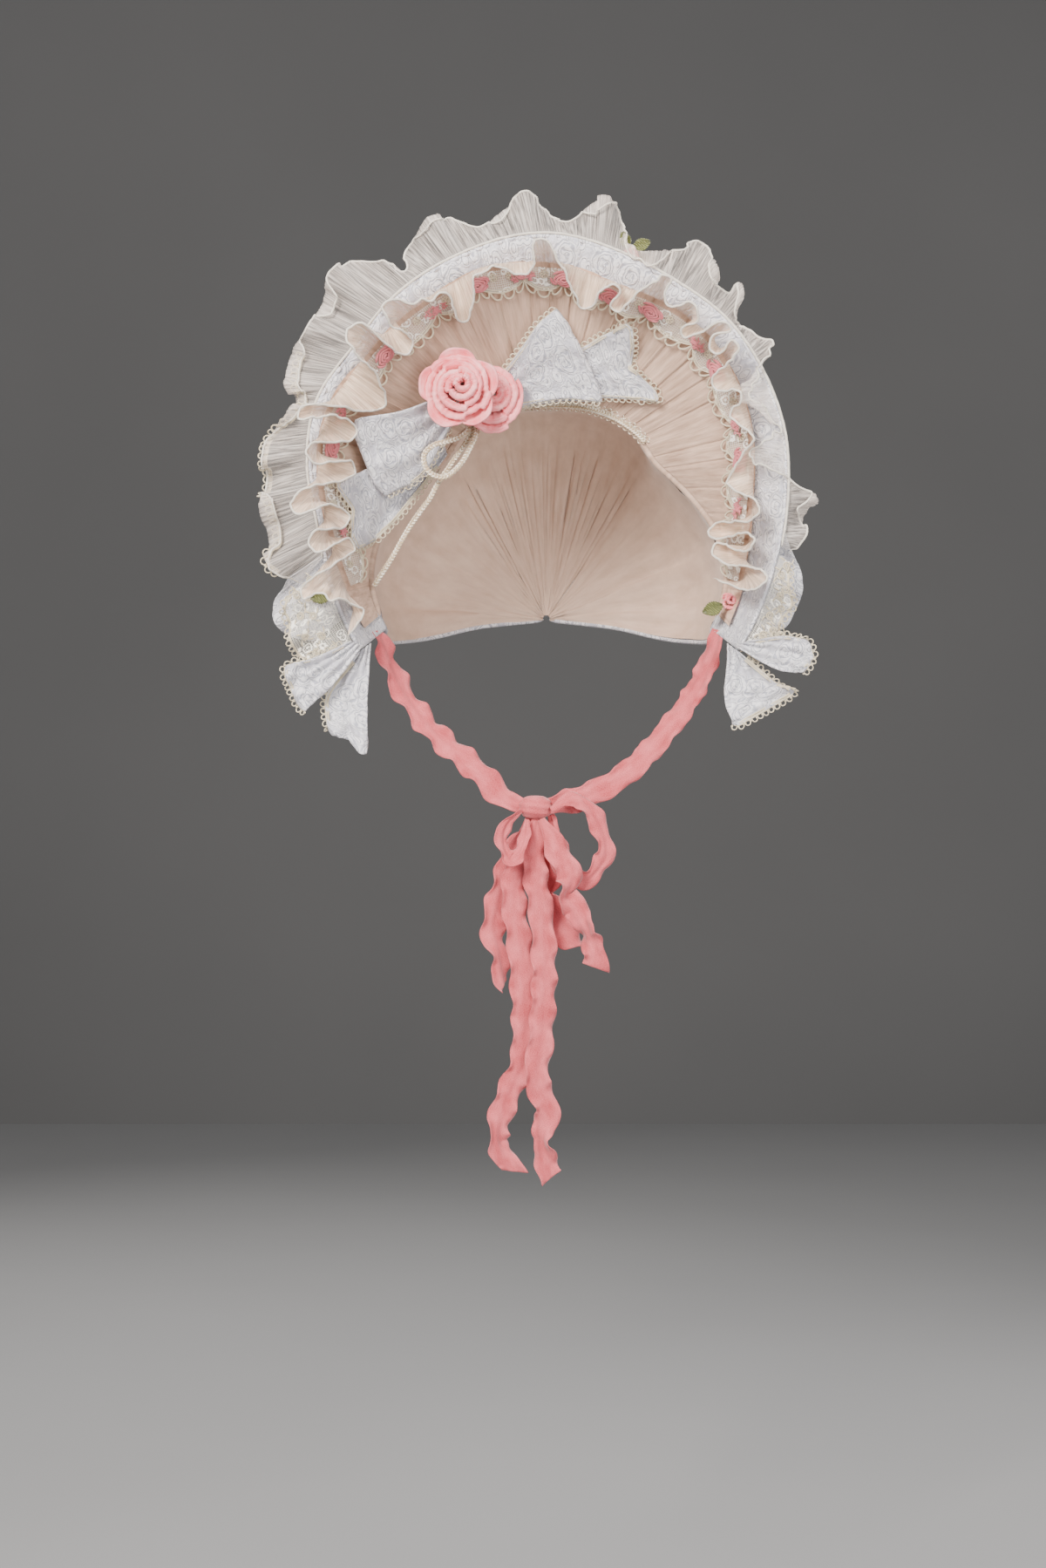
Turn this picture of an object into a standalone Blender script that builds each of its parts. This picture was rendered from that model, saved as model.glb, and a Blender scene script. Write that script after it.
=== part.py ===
"""A ruffled brim bonnet: a stiff flaring brim lined with pleated chiffon, a gathered crown,
two ruffles, rose lace, a bow with fabric roses, corner bows and chin ties in a bow.

Frame: +Z up, the front of the bonnet looks along -Y, +X is the viewer's right.
The origin is inside the top of the crown, where the head's highest point touches.
Sizes are in millimetres here, and a mesh is scaled to metres when it is made.
A place on the brim is given by its clock angle (degrees from the top, positive to the
viewer's right), its reach from the brim's centre and its depth along Y.
"""
import math
from collections import namedtuple

import bmesh
import bpy
import numpy as np

MILLIMETRE = 0.001
CENTRE_HEIGHT = -45.5

BRIM_THICKNESS = 2.4
BRIM_END = 134.0
LINING_THICKNESS = 1.0
PLEATS = 18
PLEAT_HEIGHT = 0.8
LINING_LIFT = 3.1
LAYER_REACH = 10.0
CROWN_THICKNESS = 1.6
CROWN_GATHERS = 10
RUFFLE_THICKNESS = 1.0
INNER_RUFFLE_WIDTH = 30.0
LEAST_RUFFLE_LIFT = 18.0
RUFFLE_FOOT_LIFT = 2.1
LACE_THICKNESS = 1.0
LACE_LIFT = 5.6
LACE_WIDTH = 11.0
SCALLOPS = 24
LACE_ROSE_LIFT = 6.8
BOW_THICKNESS = 1.4
PETAL_THICKNESS = 1.3
GIMP_DIAMETER = 3.6
RIBBON_WIDTH = 15.0
RIBBON_THICKNESS = 1.1
RIBBON_WAVE = 21.0

Edge = namedtuple("Edge", "clock reach depth")
Turn = namedtuple("Turn", "clock reach")
Lobe = namedtuple("Lobe", "clock reach back")
Section = namedtuple("Section", "part depth width height middle")
Station = namedtuple("Station", "along upper_x upper_z lower_x lower_z")

# The brim's outer edge
RIM = [Edge(*row) for row in (
    (-135, 158, -72), (-120, 149, -80), (-105, 141, -87), (-90, 142, -90), (-75, 141, -93),
    (-60, 133, -96), (-45, 132, -99), (-25, 131, -102), (0, 132, -103), (20, 128, -102),
    (35, 128, -100), (52, 133, -97), (68, 136, -94), (82, 139, -91), (97, 141, -89),
    (113, 146, -84), (135, 158, -72),
)]

# The edge round the head, where brim and crown meet
SEAT = [Edge(*row) for row in (
    (-135, 138, -48), (-122, 128, -44), (-109, 109, -36), (-99, 90, -31), (-86, 70, -29),
    (-66, 60, -32), (-30, 46, -38), (0, 41.5, -40), (30, 46, -38), (66, 60, -32), (86, 70, -29),
    (99, 90, -31), (109, 109, -36), (122, 128, -44), (135, 138, -48),
)]

# The line on the brim's front where the inner ruffle is sewn and the lining ends
SEWING_LINE = [Turn(*row) for row in (
    (-135, 148), (-118, 140), (-107, 137), (-92, 137), (-80, 136), (-70, 131), (-60, 125),
    (-48, 122), (-35, 119.5), (-22, 120), (-8, 118), (5, 116), (20, 112), (34, 115), (51, 120),
    (61, 121), (80, 122), (90, 122), (103, 124), (118, 133), (135, 147),
)]

# Crown sections from the seat back to the gathered nape, as shares of the seat's outline
CROWN = [Section(*row) for row in (
    (0.0, -36, 1.0, 1.0, -80), (0.2, -8, 1.03, 1.045, -80), (0.4, 24, 1.03, 1.063, -80),
    (0.6, 62, 0.96, 0.96, -84), (0.8, 98, 0.72, 0.70, -94), (0.92, 112, 0.40, 0.36, -107),
    (1.0, 108, 0.12, 0.10, -120),
)]

# The rim ruffle's hem, a row for each swing in or out
RIM_HEM = [Lobe(*row) for row in (
    (-115, 164, 9), (-110, 178, 0), (-105, 173, 10), (-98, 174, 1), (-93, 169, 11),
    (-89, 170, 0), (-84.5, 168, 10), (-79, 158, -1), (-76, 155, 9), (-73.5, 164, 2),
    (-67.5, 167, 12), (-61, 163, 0), (-54.5, 165, 10), (-49.5, 170, -2), (-44.5, 167, 9),
    (-39.5, 153, 2), (-37, 142, 6), (-33.5, 153, 12), (-26.5, 160, 0), (-22, 155, 8),
    (-17, 143, 1), (-11, 150, 8), (-5, 158, 0), (0, 146, 8), (4.5, 140, 0), (9, 153, 6),
    (12.5, 159, 1), (16.5, 151, 9), (19, 136, 2), (24, 133, -3), (29, 142, 5), (32, 146, 1),
    (35, 159, 8), (41, 149, -2), (44.5, 144, 8), (48, 153, 1), (53.5, 142, 10), (58, 145, 0),
    (63, 148, 9), (69, 142, 15), (76, 142, 20), (83, 144, 18), (89, 150, 8), (96.5, 159, 0),
    (101.5, 155, 10), (105.5, 158, 2), (109.5, 152, 8),
)]
RIM_RUFFLE_ENDS = (-112.5, 109.5)

# The inner ruffle's hem: its S folds run back on themselves
INNER_HEM = [Turn(*row) for row in (
    (-131, 158), (-128.5, 141), (-123, 152), (-117.5, 164), (-114, 126), (-110, 149),
    (-104.5, 122), (-100, 153), (-93, 115), (-89, 141), (-80.5, 115),
    (-79, 147), (-70.5, 103), (-58, 138), (-53, 104), (-48.5, 129), (-39, 118),
    (-32, 112), (-30.5, 96), (-23, 113), (-16.5, 116), (-7, 107), (-1, 124), (11.5, 92),
    (20, 107), (25.5, 96), (32, 123), (38, 112), (45, 121), (48, 106), (52.5, 128),
    (55.5, 113), (60, 126), (64.5, 106), (71, 118), (76, 109), (84, 120), (95.5, 106),
    (104, 126), (111.5, 103), (111, 129), (118, 110), (119, 144), (124.5, 118),
)]
INNER_RUFFLE_ENDS = (-126.0, 121.0)

LEFT_LACE_HEM = [Lobe(*row) for row in (
    (-116, 168, 4), (-118.5, 179, -2), (-121, 181, 5), (-124, 186, -2), (-127, 187, 5),
    (-130, 184, -2), (-133, 174, 4),
)]
RIGHT_LACE_HEM = [Lobe(*row) for row in (
    (112, 154, 3), (116, 158, -2), (120, 167, 4), (124, 166, -2), (127, 171, 4),
    (130.5, 170, -2), (133.5, 168, 4),
)]
LEFT_FLOUNCE_HEM = [Lobe(*row) for row in (
    (-113, 168, 13), (-116, 184, 17), (-119.5, 189, 12), (-122.5, 186, 17), (-126, 176, 13),
)]
RIGHT_FLOUNCE_HEM = [Lobe(*row) for row in (
    (105, 146, 15), (108.5, 152, 13), (112.5, 164, 18), (116, 169, 13), (120, 171, 18),
    (124, 171, 13), (127, 164, 16),
)]

# Embroidered roses on the lace, by clock angle
LACE_ROSES = (-107.5, -86, -77, -57, -37, -22.5, -8, 4.5, 20.5, 34, 50.5, 61, 78, 88.5, 102.5)

# Bow pieces from the knot to the free end
BOW_LOOP_RIGHT = [Station(*row) for row in (
    (0.0, -32.5, 6, -32.3, -8), (0.5, -10, 32, 5, -4), (1.0, 5, 49, 35, -3),
)]
BOW_TAIL_RIGHT = [Station(*row) for row in (
    (0.0, -24, 8, -22, -2), (0.5, 14, 24, 22, 0), (1.0, 51, 39, 72, -6),
)]
BOW_LOOP_LEFT = [Station(*row) for row in (
    (0.0, -57.0, -2, -56.8, -15), (0.5, -90, -14, -76, -47), (1.0, -118, -22, -101, -65),
)]
BOW_TAIL_LEFT = [Station(*row) for row in (
    (0.0, -65, -22, -62, -34), (0.5, -96, -40, -90, -70), (1.0, -124, -52, -115, -93),
)]

# Corner bow pieces, from the brim's lower corner outward
CORNER_LOOP_RIGHT = [Station(*row) for row in (
    (0.0, 118, -150, 111.5, -153), (0.5, 139, -148, 133, -167), (1.0, 153, -150, 152, -169),
)]
CORNER_TAIL_RIGHT = [Station(*row) for row in (
    (0.0, 113.6, -156.6, 107.2, -150.4), (0.5, 132, -172, 105, -181), (1.0, 147, -181, 109, -203),
)]
CORNER_LOOP_LEFT = [Station(*row) for row in (
    (0.0, -118, -150, -111.5, -153), (0.5, -141, -161, -130, -178), (1.0, -158, -166, -147, -194),
)]
CORNER_TAIL_LEFT = [Station(*row) for row in (
    (0.0, -113.6, -156.6, -107.2, -150.4), (0.5, -132, -182, -108, -188), (1.0, -132, -206, -109, -221),
)]

# Chin ties: routes in x, depth and z
STRAP_LEFT = (
    (-101.5, -54.5, -146.9), (-92, -51, -172), (-70, -52, -203), (-44, -57, -226),
    (-20.2, -62, -247),
)
STRAP_RIGHT = (
    (101.5, -54.5, -146.9), (92, -51, -172), (68, -52, -207), (42, -57, -232),
    (2.7, -62, -247.5),
)
KNOT_CENTRE = (-8, -62, -249)
KNOT_SIZE = (10.0, 7.5, 7.0)
BOW_KNOT_CENTRE = (-43.8, -61.6, -7)
BOW_KNOT_SIZE = (12.6, 7.2, 11.0)
TIE_LOOP_RIGHT = (
    (0.8, -69.2, -250), (16, -70, -244), (28, -69, -256), (33, -66, -280), (20, -63, -293),
    (8, -61, -287), (6, -60, -272), (0.9, -57.0, -253.6),
)
TIE_LOOP_LEFT = (
    (-16.2, -67.5, -251), (-25, -71, -258), (-28, -73, -268), (-23, -74, -280),
    (-17, -73, -274), (-13.4, -67.0, -256.2),
)
TIE_TAILS = {
    "tie_tail_1": ((-12, -61.2, -255.8), (-21, -58, -293), (-17, -58, -340), (-15, -58, -387),
                   (-16, -58, -403), (-21, -58, -414), (-30, -58, -440), (-31, -58, -448),
                   (-21, -58, -469)),
    "tie_tail_2": ((-8, -63.4, -255.8), (-9, -64, -280), (-4, -64, -318), (-3, -64, -356),
                   (-5, -64, -390), (-7, -64, -414), (-1, -64, -432), (-4, -64, -446),
                   (1, -64, -472)),
    "tie_tail_3": ((-10.6, -59.3, -255.8), (-12, -57, -262), (-20, -52, -275), (-28, -50, -298), (-34, -50, -322),
                   (-30, -50, -340), (-27, -50, -357)),
    "tie_tail_4": ((-4.6, -59.6, -255.8), (-3, -53, -268), (2, -51, -289), (-4, -51, -301),
                   (5, -51, -314), (11, -51, -327), (16, -51, -334)),
    "tie_tail_5": ((-4.5, -65.6, -255.8), (5, -72, -275), (12, -74, -296), (9, -74, -301),
                   (16, -74, -309), (21, -74, -320), (26, -74, -332), (28, -74, -345)),
}

GIMP_LOOP = (
    (-48, -65.0, -17.9), (-49, -67, -23), (-56, -69, -28), (-62, -70, -30), (-69, -70, -32),
    (-74.5, -69, -37), (-74, -69, -45), (-69, -69, -50), (-62.5, -69, -51), (-57, -69, -47.5),
    (-52, -70, -42), (-48, -70, -35), (-43.5, -67.5, -25), (-42.5, -65.0, -17.9),
)
GIMP_TAIL = (
    (-46, -60.4, -18.0), (-47, -61, -24), (-51, -61, -31), (-56, -61, -38), (-61, -61, -45.5),
    (-67, -60, -54), (-72, -59, -63), (-78, -58, -71), (-83.5, -57, -79), (-89, -56, -88),
    (-94, -56, -97), (-100, -56, -106.5), (-106, -56, -116),
)

COLOURS = {
    "blue_jacquard": (0.60, 0.66, 0.76, 0.45),
    "ivory_chiffon": (0.86, 0.80, 0.71, 0.70),
    "lining_chiffon": (0.80, 0.71, 0.64, 0.65),
    "ivory_lace": (0.88, 0.82, 0.69, 0.75),
    "rose_pink": (0.86, 0.38, 0.38, 0.60),
    "tie_pink": (0.80, 0.36, 0.39, 0.80),
    "leaf_green": (0.33, 0.34, 0.18, 0.65),
}


def clear_scene():
    for thing in list(bpy.data.objects):
        bpy.data.objects.remove(thing, do_unlink=True)


def material(slot):
    """The Principled material of one cloth or trim."""
    found = bpy.data.materials.get(slot)
    if found:
        return found
    red, green, blue, roughness = COLOURS[slot]
    made = bpy.data.materials.new(slot)
    made.use_nodes = True
    shader = made.node_tree.nodes["Principled BSDF"]
    shader.inputs["Base Color"].default_value = (red, green, blue, 1.0)
    shader.inputs["Roughness"].default_value = roughness
    shader.inputs["Metallic"].default_value = 0.0
    return made


def smooth_through(knots, values, at):
    """A smooth curve through the values at the knots, read at one or many places."""
    knots = np.asarray(knots, float)
    values = np.asarray(values, float)
    slopes = np.gradient(values, knots)
    at = np.clip(np.asarray(at, float), knots[0], knots[-1])
    before = np.clip(np.searchsorted(knots, at) - 1, 0, len(knots) - 2)
    span = knots[before + 1] - knots[before]
    part = (at - knots[before]) / span
    from_value = 2 * part ** 3 - 3 * part ** 2 + 1
    from_slope = part ** 3 - 2 * part ** 2 + part
    to_slope = part ** 3 - part ** 2
    return (from_value * values[before] + (1 - from_value) * values[before + 1]
            + span * (from_slope * slopes[before] + to_slope * slopes[before + 1]))


def column(rows, name):
    return [getattr(row, name) for row in rows]


def read_table(rows, key, name, at):
    """One column of a table, read smoothly at a value of its key column."""
    return smooth_through(column(rows, key), column(rows, name), at)


def curve_through(points, count):
    """Evenly spaced places along a smooth curve through the given points."""
    points = np.asarray(points, float)
    reached = np.concatenate(([0.0], np.cumsum(np.linalg.norm(np.diff(points, axis=0), axis=1))))
    fine = np.linspace(0.0, reached[-1], 12 * len(points))
    dense = np.column_stack([smooth_through(reached, values, fine) for values in points.T])
    run = np.concatenate(([0.0], np.cumsum(np.linalg.norm(np.diff(dense, axis=0), axis=1))))
    even = np.linspace(0.0, run[-1], count)
    return np.column_stack([np.interp(even, run, values) for values in dense.T])


def place(clock, reach, depth):
    """Points from clock angle, reach and depth."""
    angle = np.radians(clock)
    return np.stack(np.broadcast_arrays(
        reach * np.sin(angle), depth, CENTRE_HEIGHT + reach * np.cos(angle)), axis=-1)


def clock_and_reach(x, z):
    up = np.asarray(z, float) - CENTRE_HEIGHT
    return np.degrees(np.arctan2(x, up)), np.hypot(x, up)


def before_brim(clock, reach, lift):
    """Points that stand in front of the brim's middle layer, which is held at its edges beyond
    them. Where the brim is steep, a layer close to it needs more depth for the same distance."""
    seat_reach = read_table(SEAT, "clock", "reach", clock)
    seat_depth = read_table(SEAT, "clock", "depth", clock)
    rim_reach = read_table(RIM, "clock", "reach", clock)
    rim_depth = read_table(RIM, "clock", "depth", clock)
    slope = (rim_depth - seat_depth) / (rim_reach - seat_reach)
    part = np.clip((reach - seat_reach) / (rim_reach - seat_reach), 0.0, 1.0)
    brim_depth = seat_depth + (rim_depth - seat_depth) * part
    steepness = np.hypot(1.0, slope)
    return place(clock, reach, brim_depth - lift - (steepness - 1) * np.minimum(lift, LAYER_REACH))


def unit(vectors):
    return vectors / np.maximum(np.linalg.norm(vectors, axis=-1, keepdims=True), 1e-9)


def surface_normals(grid):
    down = np.gradient(grid, axis=0)
    across = np.gradient(grid, axis=1)
    return unit(np.cross(across, down))


def mesh_object(name, slot, vertices, faces):
    mesh = bpy.data.meshes.new(name)
    mesh.from_pydata([tuple(MILLIMETRE * value for value in vertex) for vertex in vertices], [],
                     faces)
    shell = bmesh.new()
    shell.from_mesh(mesh)
    bmesh.ops.recalc_face_normals(shell, faces=shell.faces)
    shell.to_mesh(mesh)
    shell.free()
    mesh.materials.append(material(slot))
    mesh.shade_smooth()
    made = bpy.data.objects.new(name, mesh)
    bpy.context.scene.collection.objects.link(made)
    return made


def sheet_solid(name, slot, grid, thickness):
    """A closed wall of even thickness round a grid of middle points, rows by columns."""
    rows, columns = grid.shape[:2]
    offset = surface_normals(grid) * thickness / 2
    vertices = np.concatenate(((grid + offset).reshape(-1, 3), (grid - offset).reshape(-1, 3)))
    back = rows * columns
    faces = []
    for row in range(rows - 1):
        for step in range(columns - 1):
            corner = row * columns + step
            opposite = corner + columns + 1
            for face in ((corner, corner + 1, opposite), (corner, opposite, corner + columns)):
                faces.append(face)
                faces.append(tuple(back + index for index in reversed(face)))
    border = [step for step in range(columns)]
    border += [row * columns + columns - 1 for row in range(1, rows)]
    border += [(rows - 1) * columns + step for step in range(columns - 2, -1, -1)]
    border += [row * columns for row in range(rows - 2, 0, -1)]
    for first, second in zip(border, border[1:] + border[:1]):
        faces.append((second, first, back + first, back + second))
    return mesh_object(name, slot, vertices, faces)


def ring_solid(name, slot, rings):
    """A closed body through rings of points, with flat ends. Each ring turns about its middle."""
    count = len(rings[0])
    vertices = np.concatenate(rings)
    faces = [tuple(range(count)), tuple(reversed(range(len(vertices) - count, len(vertices))))]
    for level in range(len(rings) - 1):
        for step in range(count):
            first = level * count + step
            second = level * count + (step + 1) % count
            faces.append((second, first, first + count, second + count))
    return mesh_object(name, slot, vertices, faces)


def tube_solid(name, slot, route, diameter):
    """A round cord along a smooth curve through its route."""
    length = float(np.sum(np.linalg.norm(np.diff(np.asarray(route, float), axis=0), axis=1)))
    points = curve_through(route, max(8, int(length / (2.5 * diameter))))
    curve = bpy.data.curves.new(name, "CURVE")
    curve.dimensions = "3D"
    curve.bevel_depth = MILLIMETRE * diameter / 2
    curve.bevel_resolution = 2
    curve.use_fill_caps = True
    curve.materials.append(material(slot))
    spline = curve.splines.new("POLY")
    spline.points.add(len(points) - 1)
    for spot, point in zip(spline.points, points):
        spot.co = (*(MILLIMETRE * float(value) for value in point), 1.0)
    made = bpy.data.objects.new(name, curve)
    bpy.context.scene.collection.objects.link(made)
    return made


def make_brim():
    clocks = np.linspace(-BRIM_END, BRIM_END, 4 * PLEATS + 1)
    rows = []
    for part in (0.0, 0.5, 1.0):
        seat = read_table(SEAT, "clock", "reach", clocks)
        rim = read_table(RIM, "clock", "reach", clocks)
        rows.append(before_brim(clocks, seat + (rim - seat) * part, 0.0))
    sheet_solid("brim", "blue_jacquard", np.stack(rows), BRIM_THICKNESS)


def make_lining():
    """Pleated chiffon from the head edge to the sewing line."""
    clocks = np.linspace(-BRIM_END, BRIM_END, 4 * PLEATS + 1)[1:-1]
    pleats = PLEAT_HEIGHT * np.sin(2 * math.pi * np.arange(1, len(clocks) + 1) / 4 + math.pi / 2)
    inner = read_table(SEAT, "clock", "reach", clocks) + 3.5
    outer = read_table(SEWING_LINE, "clock", "reach", clocks) - 2.4
    rows = []
    for part in (0.0, 0.5, 1.0):
        rows.append(before_brim(clocks, inner + (outer - inner) * part, LINING_LIFT + pleats))
    sheet_solid("brim_lining", "lining_chiffon", np.stack(rows), LINING_THICKNESS)


def make_crown():
    """The cap behind the seat, gathered in to the nape and open to the neck."""
    clocks = np.linspace(-BRIM_END, BRIM_END, 37)
    seat = place(clocks, read_table(SEAT, "clock", "reach", clocks), 0.0)
    seat_depth = read_table(SEAT, "clock", "depth", clocks)
    front = CROWN[0]
    rows = []
    for part in np.linspace(0.0, 1.0, 7):
        gather = 1 + 0.03 * part * np.cos(np.radians(clocks) * 360 / (2 * BRIM_END)
                                          * CROWN_GATHERS)
        width = read_table(CROWN, "part", "width", part) * gather
        height = read_table(CROWN, "part", "height", part) * gather
        middle = read_table(CROWN, "part", "middle", part)
        depth = read_table(CROWN, "part", "depth", part)
        rows.append(np.column_stack((
            seat[:, 0] * width,
            depth + (seat_depth + 1.5 - front.depth) * (1 - part) ** 3,
            middle + (seat[:, 2] - front.middle) * height)))
    sheet_solid("crown", "blue_jacquard", np.stack(rows), CROWN_THICKNESS)


def gathered_clocks(hem_clocks, ends, window):
    """Clock angles along a sewing line under a hem: the hem's own, averaged over its folds."""
    weights = np.hanning(window + 2)[1:-1]
    padded = np.pad(hem_clocks, window // 2, mode="edge")
    mean = np.convolve(padded, weights / weights.sum(), mode="valid")[:len(hem_clocks)]
    rising = np.maximum.accumulate(mean) + np.linspace(0.0, 1.0, len(mean))
    return ends[0] + (rising - rising[0]) * (ends[1] - ends[0]) / (rising[-1] - rising[0])


def rim_frill(name, slot, hem_rows, ends, columns, inset):
    """A frill sewn along the brim's edge, whose hem swings out, in, forward and back."""
    hem = curve_through([place(row.clock, row.reach, row.back) for row in hem_rows], columns)
    clocks = clock_and_reach(hem[:, 0], hem[:, 2])[0]
    hem[:, 1] += read_table(RIM, "clock", "depth", clocks)
    foot_clocks = gathered_clocks(clocks, ends, 9)
    rim = read_table(RIM, "clock", "reach", foot_clocks)
    if inset:
        foot = before_brim(foot_clocks, rim - inset, -2.4)
    else:
        foot = place(foot_clocks, rim + 1.6, read_table(RIM, "clock", "depth", foot_clocks))
    middle = (foot + hem) / 2
    sheet_solid(name, slot, np.stack((foot, middle, hem)), RUFFLE_THICKNESS)


def make_inner_ruffle():
    """The ruffle that stands on the brim's front, its hem in S folds over the lace."""
    hem = curve_through([place(row.clock, row.reach, 0.0) for row in INNER_HEM], 184)
    clocks, reaches = clock_and_reach(hem[:, 0], hem[:, 2])
    foot_clocks = gathered_clocks(clocks, INNER_RUFFLE_ENDS, 11)
    foot_reaches = read_table(SEWING_LINE, "clock", "reach", foot_clocks)
    swing = reaches - foot_reaches
    lift = np.sqrt(np.maximum(INNER_RUFFLE_WIDTH ** 2 - swing ** 2, LEAST_RUFFLE_LIFT ** 2))
    foot = place(foot_clocks, foot_reaches, 0.0)
    rows = []
    for part in (0.0, 0.5, 1.0):
        level = RUFFLE_FOOT_LIFT + (lift - RUFFLE_FOOT_LIFT) * part ** 0.74
        spot = foot + (hem - foot) * part ** 2.4
        spot_clocks, spot_reaches = clock_and_reach(spot[:, 0], spot[:, 2])
        rows.append(before_brim(spot_clocks, spot_reaches, level))
    sheet_solid("inner_ruffle", "ivory_chiffon", np.stack(rows), RUFFLE_THICKNESS)


def make_lace():
    """The lace band inside the ruffle, with a scalloped edge, and its embroidered roses."""
    clocks = np.linspace(-INNER_RUFFLE_ENDS[1], INNER_RUFFLE_ENDS[1], 2 * SCALLOPS + 1)
    sewing = read_table(SEWING_LINE, "clock", "reach", clocks)
    scallop = 1.5 * np.cos(math.pi * np.arange(len(clocks)))
    outer = before_brim(clocks, sewing - 3.4, LACE_LIFT)
    inner = before_brim(clocks, sewing - 3.4 - LACE_WIDTH + scallop, LACE_LIFT)
    sheet_solid("lace_band", "ivory_lace", np.stack((inner, outer)), LACE_THICKNESS)
    for number, clock in enumerate(LACE_ROSES, 1):
        reach = float(read_table(SEWING_LINE, "clock", "reach", clock)) - 8.0
        lace_rose("lace_rose_%02d" % number, clock, reach)


def lace_rose(name, clock, reach):
    """A small raised embroidered rose, a flat dome with a lobed edge."""
    sides = 8
    turn = np.arange(sides) * 2 * math.pi / sides
    heading = math.radians(clock)
    rings = []
    for size, rise in ((5.0, 0.0), (4.4, 1.2), (1.6, 1.8)):
        lobes = size * (1 + 0.12 * np.cos(4 * turn))
        along = 1.25 * lobes * np.cos(turn)
        out = 0.85 * lobes * np.sin(turn)
        x = reach * math.sin(heading) + along * math.cos(heading) + out * math.sin(heading)
        z = (CENTRE_HEIGHT + reach * math.cos(heading) - along * math.sin(heading)
             + out * math.cos(heading))
        clocks, reaches = clock_and_reach(x, z)
        rings.append(before_brim(clocks, reaches, LACE_ROSE_LIFT + rise))
    ring_solid(name, "rose_pink", rings)


def panel_points(stations, along, across, notch=0.0):
    """Points in x and z on a bow piece, along it and across it."""
    sides = [read_table(stations, "along", name, along) for name in
             ("upper_x", "upper_z", "lower_x", "lower_z")]
    x = sides[0] + (sides[2] - sides[0]) * across
    z = sides[1] + (sides[3] - sides[1]) * across
    root = stations[0]
    pull = notch * along ** 4 * (1 - abs(2 * across - 1))
    root_x = (root.upper_x + root.lower_x) / 2
    root_z = (root.upper_z + root.lower_z) / 2
    length = max(math.hypot(x - root_x, z - root_z), 1e-6)
    return x + (root_x - x) * pull / length, z + (root_z - z) * pull / length


def bow_loop(name, stations, front_lifts, back_lifts, crease):
    """A folded band: out in front to the fold at its end and back behind."""
    shares = (0.0, 0.25, 0.5, 0.75, 0.95, 1.0, 0.95, 0.7, 0.35, 0.0)
    lifts = [np.interp(share, (0, 0.5, 1), front_lifts) for share in shares[:5]]
    lifts += [(front_lifts[2] + back_lifts[2]) / 2]
    lifts += [np.interp(share, (0, 0.5, 1), back_lifts) for share in shares[6:]]
    rows = []
    for across in np.linspace(0.0, 1.0, 4):
        line = []
        for index, (share, lift) in enumerate(zip(shares, lifts)):
            x, z = panel_points(stations, share, across)
            clock, reach = clock_and_reach(x, z)
            fold = crease * math.cos(3 * math.pi * across) * (1 - share) if index < 5 else 0.0
            line.append(before_brim(clock, reach, lift + fold))
        rows.append(line)
    grid = np.array(rows)
    return sheet_solid(name, "blue_jacquard", grid, BOW_THICKNESS)


def bow_tail(name, stations, lifts, notch, crease=0.0, steps=7):
    """A single flat end of the bow, with a swallow-tail notch."""
    rows = []
    for across in np.linspace(0.0, 1.0, 5):
        line = []
        for share in np.linspace(0.0, 1.0, steps):
            x, z = panel_points(stations, share, across, notch)
            clock, reach = clock_and_reach(x, z)
            lift = np.interp(share, (0, 0.5, 1), lifts)
            fold = crease * math.cos(4 * math.pi * across) * share
            line.append(before_brim(clock, reach, lift + fold))
        rows.append(line)
    return sheet_solid(name, "blue_jacquard", np.array(rows), BOW_THICKNESS)


def rounded_knot(name, slot, centre, size):
    """A soft knot, a squared ball with flat ends above and below."""
    turn = np.arange(10) * 2 * math.pi / 10
    rings = []
    for height in (-0.9, -0.5, 0.0, 0.5, 0.9):
        girth = (1 - height ** 2) ** 0.35
        rings.append(np.column_stack((
            centre[0] + size[0] * girth * np.cos(turn),
            centre[1] + size[1] * girth * np.sin(turn),
            np.full(len(turn), centre[2] + size[2] * height))))
    ring_solid(name, slot, rings)


def make_bow():
    rounded_knot("bow_knot", "blue_jacquard", BOW_KNOT_CENTRE, BOW_KNOT_SIZE)
    bow_loop("bow_loop_right", BOW_LOOP_RIGHT, (14.4, 18, 14), (11.3, 9.3, 10), 0.5)
    bow_tail("bow_tail_right", BOW_TAIL_RIGHT, (7.2, 7.2, 7.2), 12)
    bow_loop("bow_loop_left", BOW_LOOP_LEFT, (20, 25, 18.5), (14.5, 14, 13.5), 1.2)
    bow_tail("bow_tail_left", BOW_TAIL_LEFT, (9.9, 9.9, 9.9), 8)


def fabric_rose(name, centre, inner, outer, turns, base_depth, height, columns):
    """A wound strip of cloth, tight and tall inside and flared outside."""
    share = np.linspace(0.0, 1.0, columns)
    angle = 2 * math.pi * turns * share
    lip = inner + (outer - inner) * share
    lip = lip + 0.9 * np.sin(2.6 * angle) * share
    rows = []
    for level in (0.0, 0.55, 1.0):
        radius = lip * (0.45 + 0.55 * level ** 0.8)
        rise = height * (1 - 0.45 * share ** 2) * level
        rows.append(np.column_stack((
            centre[0] + radius * np.cos(angle),
            base_depth - rise,
            centre[1] + radius * np.sin(angle))))
    sheet_solid(name, "rose_pink", np.stack(rows), PETAL_THICKNESS)


def make_roses():
    fabric_rose("rose_large", (-53.5, -2), 2.6, 23.5, 3.6, -82.7, 18, 46)
    fabric_rose("rose_small", (-35, -4.5), 9.0, 22.5, 1.9, -69.7, 12, 32)


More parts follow.
